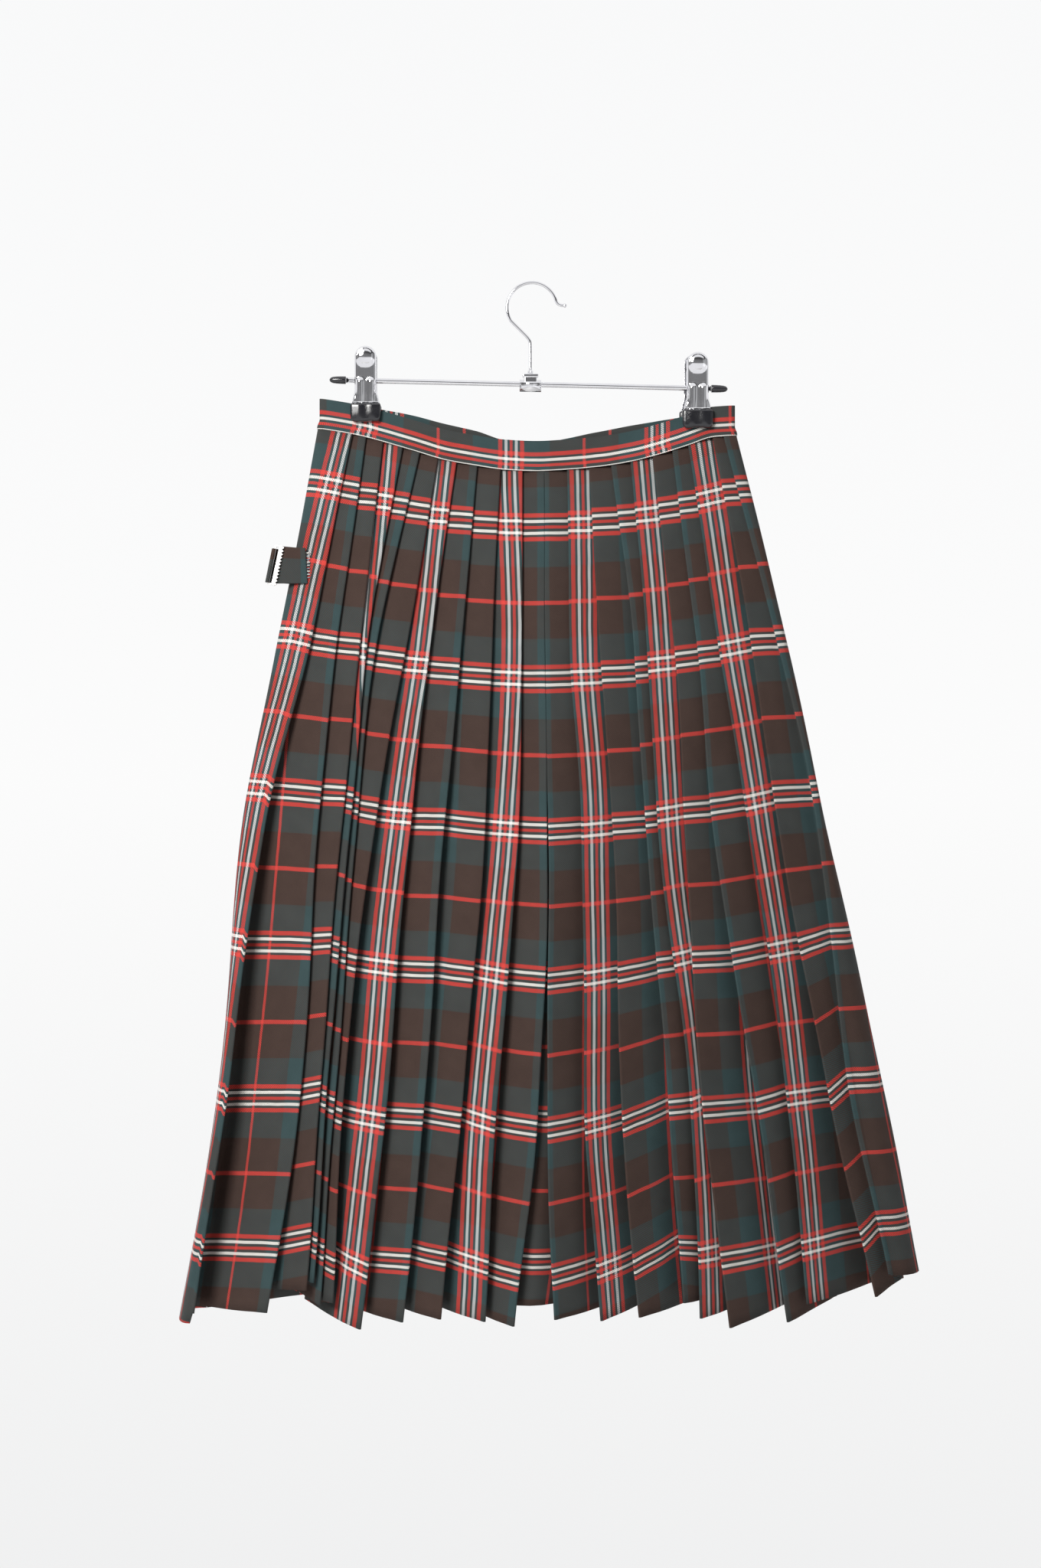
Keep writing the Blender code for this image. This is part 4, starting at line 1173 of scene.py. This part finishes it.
def hip_outline(z):
    """The skirt's outline at a height on the left hip."""
    top = seam_height(SIDE_LEFT.seam)
    return Outline((z - top) / (SIDE_LEFT.hem_z - top))


def hip_point(distance, z, moved_out):
    """A point round the left hip at height z; distance runs from the back to the front."""
    outline = hip_outline(z)
    quarter = math.pi / 2
    start = outline.back_left
    girth = quarter * (outline.left_turn + outline.depth) / 2
    off = WALL / 2 + SEAM_GAP + moved_out
    if distance < -girth:
        x = start - (distance + girth)
        return x, outline.back(x) - off
    if distance > girth:
        x = start + (distance - girth)
        return x, outline.front(x) + off
    angle = quarter * (1 + distance / girth)
    x, y = outline.side(-1, angle)
    return x - off * math.sin(angle), y - off * math.cos(angle)


def strap_front():
    """How far forward the strap lies to clear the hip along its whole width."""
    heights = [STRAP_Z + up for up in (-STRAP_WIDTH / 2, 0.0, STRAP_WIDTH / 2)]
    return min(hip_point(-d, z, STRAP_WALL / 2)[1] for d in range(60) for z in heights)


def buckle_face():
    """Middle of the buckle's sheet metal, front to back."""
    return strap_front() - STRAP_WALL / 2 - SEAM_GAP - BUCKLE_SHEET / 2


def make_strap():
    """The strap that comes out of the slit and ends on the buckle."""
    steps, lines = 14, 10
    rows = []
    for up in evenly(lines, STRAP_WIDTH / 2, -STRAP_WIDTH / 2):
        shift = up * math.tan(STRAP_LEAN)
        row = []
        for s in evenly(steps):
            x = lerp(STRAP_START_X, BUCKLE_X - BUCKLE_BAR / 2 + STRAP_LAP, s)
            y = strap_front() + s * s
            y -= STRAP_BOW * math.sin(math.pi * s) * (0.6 + 0.4 * math.sin(up / 4.0))
            curl = STRAP_CURL * ramp(2.0 * s - 1.2) * ramp(4.0 * up / STRAP_WIDTH - 1.0)
            u = GREEN_START + (x - STRAP_GREEN_X)
            v = STRAP_WEFT + STRAP_WIDTH / 2 - up
            row.append(Spot(x + shift * lerp(-0.3, 1.0, s), y, STRAP_Z + up + curl, u, v))
        rows.append(row)
    strap = cloth_piece("hip_strap_cloth", rows, STRAP_WALL, TARTAN)
    soften_edges(strap, STRAP_EDGE)
    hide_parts("hip_strap")


def make_tab():
    """The tab that goes round the buckle's plain bar and back along the hip."""
    bar = (BUCKLE_BAR + BUCKLE_WIRE) / 2 + BUCKLE_SLOT
    bar_x = BUCKLE_X - bar / math.cos(STRAP_LEAN)
    face_y = buckle_face()
    clear = BUCKLE_WIRE / 2 + 2 * SEAM_GAP + TAB_WALL / 2
    plan = [(bar_x + TAB_END, face_y - BUCKLE_SHEET / 2 - SEAM_GAP - TAB_WALL / 2)]
    for angle in range(75, -76, -15):
        a = math.radians(angle)
        plan.append((bar_x - clear * math.cos(a), face_y - (clear + TAB_SLACK) * math.sin(a)))
    plan.append((bar_x + TAB_RETURN[0], face_y + TAB_RETURN[1]))
    rows = []
    for up in evenly(6, TAB_WIDTH / 2, -TAB_WIDTH / 2):
        shift = up * math.tan(STRAP_LEAN)
        z = STRAP_Z + up
        places = [(x + shift, y) for x, y in plan]
        for share in TAB_SHARES:
            places.append(hip_point(TAB_REACH * share, z, TAB_WALL / 2 + TAB_LIFT))
        v = STRAP_WEFT + TAB_WIDTH / 2 - up
        rows.append([Spot(x, y, z, TAB_WARP - along, v)
                     for (x, y), along in zip(places, distances(places))])
    tab = cloth_piece("hip_tab_cloth", rows, TAB_WALL, TARTAN)
    soften_edges(tab, TAB_EDGE)
    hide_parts("hip_tab")


def make_buckle():
    """A flat slide buckle: a plain bar, a slot and a toothed bar."""
    half = BUCKLE_HEIGHT / 2
    right = BUCKLE_BAR / 2
    slot_left = -BUCKLE_BAR / 2 - BUCKLE_SLOT
    left = slot_left - BUCKLE_WIRE
    corner = BUCKLE_CORNER
    outline = [(left, -half + corner), (left + corner, -half), (right, -half)]
    pitch = BUCKLE_HEIGHT / BUCKLE_TEETH
    for i in range(BUCKLE_TEETH):
        foot = -half + i * pitch
        outline += [(right + TOOTH_DEPTH, foot + share * pitch) for share in TOOTH_TIP]
        outline.append((right, foot + pitch))
    outline += [(left + corner, half), (left, half - corner)]
    slot_half = STRAP_WIDTH / 2 + SEAM_GAP
    hole = [(slot_left, -slot_half), (slot_left, slot_half), (slot_left + BUCKLE_SLOT, slot_half),
            (slot_left + BUCKLE_SLOT, -slot_half)]
    buckle = flat_piece("slide_buckle", outline, [hole], BUCKLE_SHEET, BUCKLE_ROUND, NICKEL)
    place = Matrix.Translation(Vector((BUCKLE_X, buckle_face(), STRAP_Z)) * MM)
    buckle.data.transform(place @ Matrix.Rotation(STRAP_LEAN, 4, "Y"))
    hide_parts("hip_buckle")


def make_slit_stitches():
    """The bound edge of the slit: close zigzag stitches in three threads."""
    work = bmesh.new()
    for i in range(STITCH_COUNT + 1):
        z = lerp(SLIT_TOP, SLIT_FOOT, i / STITCH_COUNT)
        finish = (0, 0, 1, 0, 2, 1)[i % 6]
        points = []
        for s, across, out in STITCH_LINE:
            x = SLIT_X + across - SLIT_LEAN * (z - SLIT_TOP)
            drop = STITCH_DROP * s * (1 if i % 2 else -1)
            y = hip_point(SLIT_ROUND, z + drop, 0.0)[1] + sway(x, z, SLIT_FALL) - out
            outline = hip_outline(z)
            y += outline.back(x) - outline.back(hip_point(SLIT_ROUND, z, 0.0)[0])
            points.append((x, y, z + drop))
        tube_mesh(work, points, STITCH_RADIUS, 8, finish)
    stitches = finished("slit_stitches", work, WHITE_THREAD, BLUE_THREAD, RED_THREAD)


# The hanger
def rod_point(x):
    """Middle of the hanger's rod at x."""
    share = (x - ROD_LEFT.x) / (ROD_RIGHT.x - ROD_LEFT.x)
    return ROD_LEFT.lerp(ROD_RIGHT, share)


def make_hook():
    """The swivel hook: stem, slanted shoulder, arc over the rail and ball tip."""
    centre_z = HOOK_WIRE - HOOK_RADIUS
    arc = []
    for angle in evenly(48, *HOOK_ARC):
        arc.append((HOOK_RADIUS * math.cos(angle), centre_z + HOOK_RADIUS * math.sin(angle)))
    between = [lerp(*pair, 0.5) for pair in zip(HOOK_SHOULDER[-1], arc[0])]
    knees = [(HOOK_STEM_X, HOOK_STEM_FOOT), *HOOK_SHOULDER, between, *arc, *HOOK_TIP]
    for _ in range(2):
        softer = [knees[0]]
        for (x0, z0), (x1, z1) in zip(knees, knees[1:]):
            softer.append((lerp(x0, x1, 0.25), lerp(z0, z1, 0.25)))
            softer.append((lerp(x0, x1, 0.75), lerp(z0, z1, 0.75)))
        knees = softer + [knees[-1]]
    work = bmesh.new()
    tube_mesh(work, [(x, 0.0, z) for x, z in knees], HOOK_WIRE, 20)
    points, radii = bead_line(*HOOK_BALL_ENDS, HOOK_BALL)
    tube_mesh(work, points, radii, 20)
    hook = finished("hook_wire", work, CHROME)
    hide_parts("hook")


def make_bracket():
    """The pressed bracket on the rod, its rivet and the swivel above it."""
    swivel_foot = HOOK_STEM_FOOT - SEAM_GAP
    plate_top = swivel_foot - SWIVEL_HEIGHT - SEAM_GAP
    foot = (HOOK_STEM_X, 0.0, swivel_foot - SWIVEL_HEIGHT)
    points, radii = bead_line(foot, (HOOK_STEM_X, 0.0, swivel_foot), SWIVEL_RADIUS)
    radii = [max(radius, 1.0) for radius in radii]
    swivel = tube_piece("swivel_rivet", points, radii, CHROME, 24)
    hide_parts("hook_swivel")
    middle = rod_point(HOOK_STEM_X)
    work = bmesh.new()
    height = BRACKET_PLATE[2]
    rounded_block(work, BRACKET_PLATE, (HOOK_STEM_X, 0.0, plate_top - height / 2), 1.0)
    neck = plate_top - height / 2 - middle.z
    rounded_block(work, (*BRACKET_NECK, neck), (HOOK_STEM_X, 0.0, middle.z + neck / 2), 0.9)
    # The saddle: a bent sheet over the rod, open below, with a tab at each end
    out, inner = BRACKET_RADIUS, BRACKET_RADIUS - BRACKET_SHEET
    steps = 20

    def arc(radius, order):
        angles = [math.radians(lerp(*BRACKET_ARC, i / steps)) for i in order]
        return [(radius * math.cos(angle), radius * math.sin(angle)) for angle in angles]

    section = [(out, -BRACKET_FOOT), *arc(out, range(steps + 1)), (-out, -BRACKET_FOOT),
               (-inner, -BRACKET_FOOT), *arc(inner, range(steps, -1, -1)), (inner, -BRACKET_FOOT)]
    ends = []
    for along in (-BRACKET_LENGTH / 2, BRACKET_LENGTH / 2):
        ring = []
        for across, up in section:
            spot = middle + ROD_LEAN * along + Vector((0.0, across, up))
            ring.append(work.verts.new(spot * MM))
        ends.append(ring)
    count = len(section)
    for j in range(count):
        k = (j + 1) % count
        work.faces.new((ends[0][j], ends[0][k], ends[1][k], ends[1][j])).smooth = True
    for j in range(count // 2):
        k = count - 1 - j
        if j + 1 < k:
            work.faces.new((ends[0][j], ends[0][j + 1], ends[0][k - 1], ends[0][k]))
            work.faces.new((ends[1][k], ends[1][k - 1], ends[1][j + 1], ends[1][j]))
    bracket = finished("rod_saddle", work, CHROME)
    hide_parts("rod_bracket")


def make_rod():
    """The rod with its two vinyl end caps."""
    points = [ROD_LEFT.lerp(ROD_RIGHT, share) for share in evenly(24)]
    rod = tube_piece("rod_wire", points, ROD_RADIUS, CHROME, 28)
    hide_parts("rod")
    for side, end, sign in (("left", ROD_LEFT, -1), ("right", ROD_RIGHT, 1)):
        points, radii = [], []
        for share, radius in CAP_SHAPE:
            points.append(end + ROD_LEAN * sign * (SEAM_GAP + CAP_LENGTH * share))
            radii.append(radius)
        cap = tube_piece(f"end_cap_dipped_{side}", points, radii, VINYL, 24)
        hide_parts(f"end_cap_{side}")


def plate_half_width(up):
    """Half the width of a clip's plate at a height above its foot."""
    if up > CLIP_SHOULDER:
        return math.sqrt(max(0.0, CLIP_RADIUS ** 2 - (up - CLIP_SHOULDER) ** 2))
    foot = GRIP[2] + SEAM_GAP
    narrow = ramp(2.0 * (up - foot) / CLIP_FLARE_LENGTH - 1.0)
    return CLIP_RADIUS + (CLIP_FLARE - CLIP_RADIUS) * (1.0 - narrow)


def plate_relief(across, up):
    """How far the pressed steel stands out of the plate's face at a place on it."""
    away = math.hypot(across, up - CLIP_SHOULDER)
    dome = DOME_RISE * math.sqrt(max(0.0, 1.0 - (away / DOME_RADIUS) ** 2))
    ring = RING_RISE * math.exp(-((away - DOME_RADIUS - RING_OUT) / RING_WIDTH) ** 2)
    past = max(0.0, up - RIB_TOP)
    off = math.hypot(abs(across) - RIB_X, past)
    rib = RIB_RISE * math.sqrt(max(0.0, RIB_RADIUS ** 2 - off ** 2))
    if up > CLIP_SHOULDER:
        edge = CLIP_RADIUS - away
    else:
        edge = plate_half_width(up) - abs(across)
    flange = CLIP_FLANGE * max(0.0, 1.0 - edge / FLANGE_WIDTH) ** 2
    return max(dome, ring, rib) - flange


def make_plate(name, node, x, sign, foot):
    """One pressed plate of a clip, facing the viewer when sign is below zero."""
    lines, columns = 56, 22
    low, high = GRIP[2] + SEAM_GAP, CLIP_HEIGHT - 0.02
    verts = []
    for s in evenly(lines):
        if s < PLATE_STRAIGHT:
            up = lerp(low, CLIP_SHOULDER, s / PLATE_STRAIGHT)
        else:
            past = (s - PLATE_STRAIGHT) / (1.0 - PLATE_STRAIGHT)
            up = lerp(CLIP_SHOULDER, high, math.sin(math.pi / 2 * past))
        half = plate_half_width(up)
        for c in range(columns + 1):
            across = half * math.sin(math.pi / 2 * (2.0 * c / columns - 1.0))
            verts.append(Vector((across, sign * plate_relief(across, up), up)) * MM)
    mesh = bpy.data.meshes.new(name)
    mesh.from_pydata(verts, [], [(a, d, c, b) for a, b, c, d in grid_faces(lines + 1, columns + 1)])
    mesh.shade_smooth()
    face_y = BAND_TOP_PITCH + BAND_WALL / 2 + SEAM_GAP + PLATE_STAND
    place = Matrix.Translation(Vector((x, sign * face_y, foot)) * MM)
    mesh.transform(place @ Matrix.Rotation(-sign * CLIP_TILT, 4, "X"))
    plate = new_piece(name, mesh, CHROME)
    thick = plate.modifiers.new("sheet", "SOLIDIFY")
    thick.thickness = CLIP_SHEET * MM
    thick.offset = 0.0
    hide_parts(node)


def make_jaw(name, node, x, sign, foot):
    """One vinyl grip, swollen over the two ribs and rounded below."""
    def shape(point):
        outward = max(0.0, sign * point.y / (GRIP[1] / 2))
        up = point.z + GRIP[2] / 2
        for rib in GRIP_RIBS:
            near = math.exp(-((point.x - rib) / GRIP_RIB_WIDTH) ** 2)
            point.y += sign * outward * GRIP_RIB_RISE * near * ramp((up - 3.0) / 4.0)
        point.x *= 1.0 - GRIP_TAPER * (1.0 - ramp(up / 3.0 - 1.0)) ** 2
        point.z += GRIP_WAVE * math.sin(point.x / 3.1 + foot) * (1.0 - up / GRIP[2])
        return point

    work = bmesh.new()
    grip_y = sign * (BAND_TOP_PITCH + BAND_WALL / 2 + SEAM_GAP + GRIP[1] / 2)
    rounded_block(work, GRIP, (x, grip_y, foot + GRIP[2] / 2), GRIP_ROUND, shape, steps=18)
    jaw = finished(name, work, VINYL)
    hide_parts(node)


def make_clip(index):
    """One spring clip: two plates, two vinyl grips and the coil round the rod."""
    side = ("left", "right")[index]
    foot = CLIP_FOOT[index]
    for face, sign in (("back", 1), ("front", -1)):
        x = CLIP_X[index] + (CLIP_BACK_SHIFT[index] if sign > 0 else 0.0)
        make_plate(f"clip_{side}_pressed_{face}", f"clip_{side}_plate_{face}", x, sign, foot)
        make_jaw(f"clip_{side}_jaw_{face}", f"clip_{side}_grip_{face}", x, sign, foot)
    middle = rod_point(CLIP_X[index])
    steps = SPRING_TURNS * 20
    points = []
    for i in range(steps + 1):
        angle = 2 * math.pi * i / 20
        along = lerp(-SPRING_LENGTH / 2 + 1, SPRING_LENGTH / 2 - 1, i / steps)
        points.append(middle + ROD_LEAN * along
                      + Vector((0.0, math.cos(angle), math.sin(angle))) * SPRING_RADIUS)
    coil = tube_piece(f"clip_{side}_coil", points, SPRING_WIRE, CHROME, 10)
    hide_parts(f"clip_{side}_spring")


# Floor, light and camera, in metres
FLOOR_Z = -1.35


def make_floor():
    """A plain pale floor under the hanging kilt."""
    mesh = bpy.data.meshes.new("floor")
    corners = [(x, y, FLOOR_Z) for x, y in ((-2.2, -2.0), (2.2, -2.0), (2.2, 0.9), (-2.2, 0.9))]
    mesh.from_pydata(corners, [], [(0, 1, 2, 3)])
    floor = linked("floor", mesh)
    made, shader, shading = new_material("pale_floor", Roughness=0.7)
    place = shading.add("TexCoord").outputs["Object"]
    cloud = shading.noise(place, 3.0, 3.0)
    shade = shading.between(cloud, 0.3, 0.7, 0.78, 0.82)
    shading.feed(shader.inputs["Base Color"], shading.grey(shade))
    mesh.materials.append(made)


def make_light(name, place, aim, size, power, colour):
    """One soft studio light that faces a point."""
    data = bpy.data.lights.new(name, "AREA")
    data.shape = "RECTANGLE"
    data.size, data.size_y = size
    data.energy = power
    data.color = colour
    light = linked(name, data)
    light.location = place
    light.rotation_euler = (Vector(aim) - Vector(place)).to_track_quat("-Z", "Y").to_euler()


def make_world():
    """A white backdrop to the eye, and a dimmer white all round for the light."""
    world = bpy.data.worlds.new("studio")
    bpy.context.scene.world = world
    world.use_nodes = True
    tree = world.node_tree
    tree.nodes.clear()
    shading = Shading(tree)
    eye = shading.add("LightPath").outputs["Is Camera Ray"]
    direction = shading.add("TexCoord").outputs["Generated"]
    height = shading.add("SeparateXYZ", {0: direction}).outputs[2]
    # Painted shade: the backdrop the eye sees is darker towards the bottom and a little towards the
    # top, as on a lit wall
    wall = shading.bands(shading.between(height, -0.27, 0.27, 0.0, 1.0), WALL_SHADED_GREYS)[0]
    seen = shading.add("Background", {0: wall, 1: 1.0})
    away = shading.add("SeparateXYZ", {0: direction}).outputs[1]
    room = shading.between(away, -0.3, 0.35, ROOM, BACKDROP)
    room.node.interpolation_type = "SMOOTHSTEP"
    ceiling = shading.between(height, 0.15, 0.8, 0.0, CEILING)
    lit = shading.math("ADD", room, ceiling)
    around = shading.add("Background", {0: (1.0, 1.0, 1.0, 1.0), 1: lit})
    # Polished metal shows a grey room, a dark strip under its ceiling and white elsewhere
    greys = [(place, (grey, grey, grey * 1.02), 1.0) for place, grey in ROOM_GREYS]
    room = shading.bands(shading.between(height, -1.0, 1.0, 0.0, 1.0), greys)[0]
    behind = shading.between(away, -0.25, 0.1, 0.0, 1.0)
    shown = shading.mix(behind, room, (0.93, 0.93, 0.94, 1.0))
    polished = shading.add("Background", {0: shown, 1: 1.0})
    mirror = shading.add("LightPath").outputs["Is Glossy Ray"]
    around = shading.add("MixShader", {0: mirror, 1: around.outputs[0],
                                                 2: polished.outputs[0]})
    both = shading.add("MixShader", {0: eye, 1: around.outputs[0], 2: seen.outputs[0]})
    shading.add("OutputWorld", {0: both.outputs[0]})


# How bright the room is in front, behind the kilt and overhead
ROOM = 0.06
BACKDROP = 0.70
CEILING = 0.22
# The backdrop's greys hold painted shade: darker towards the bottom and a little towards the top
WALL_SHADED_GREYS = ((0.0, (0.87, 0.872, 0.875), 1.0), (0.5, (0.968, 0.968, 0.968), 1.0),
              (1.0, (0.945, 0.948, 0.952), 1.0))
ROOM_GREYS = ((0.0, 0.85), (0.08, 0.35), (0.15, 0.3), (0.22, 0.92), (0.47, 0.9), (0.49, 0.2),
              (0.56, 0.18), (0.64, 0.06), (0.7, 0.06), (0.76, 0.9), (1.0, 0.95))
CAMERA_PLACE = (-0.0094, -2.325, -0.409)
CAMERA_LENS = 65.21


def make_camera():
    """The photograph's view: level and square to the kilt."""
    data = bpy.data.cameras.new("camera")
    data.sensor_width = 36.0
    data.lens = CAMERA_LENS
    camera = linked("camera", data)
    camera.location = CAMERA_PLACE
    camera.rotation_euler = (math.pi / 2, 0.0, 0.0)
    bpy.context.scene.camera = camera


make_camera()
make_skirt()
make_waistband()
make_strap()
make_tab()
make_buckle()
make_slit_stitches()
make_hook()
make_bracket()
make_rod()
make_clip(0)
make_clip(1)
make_floor()
make_world()
make_light("key", place=(-0.95, -1.8, 0.55), aim=(-0.25, 0.0, -0.35), size=(0.8, 0.8),
           power=45.0, colour=(1.0, 0.99, 0.97))
make_light("fill", place=(1.9, -1.8, -0.1), aim=(0.0, 0.0, -0.45), size=(1.6, 1.6),
           power=2.0, colour=(0.97, 0.99, 1.0))
bpy.context.scene.view_settings.view_transform = "Standard"
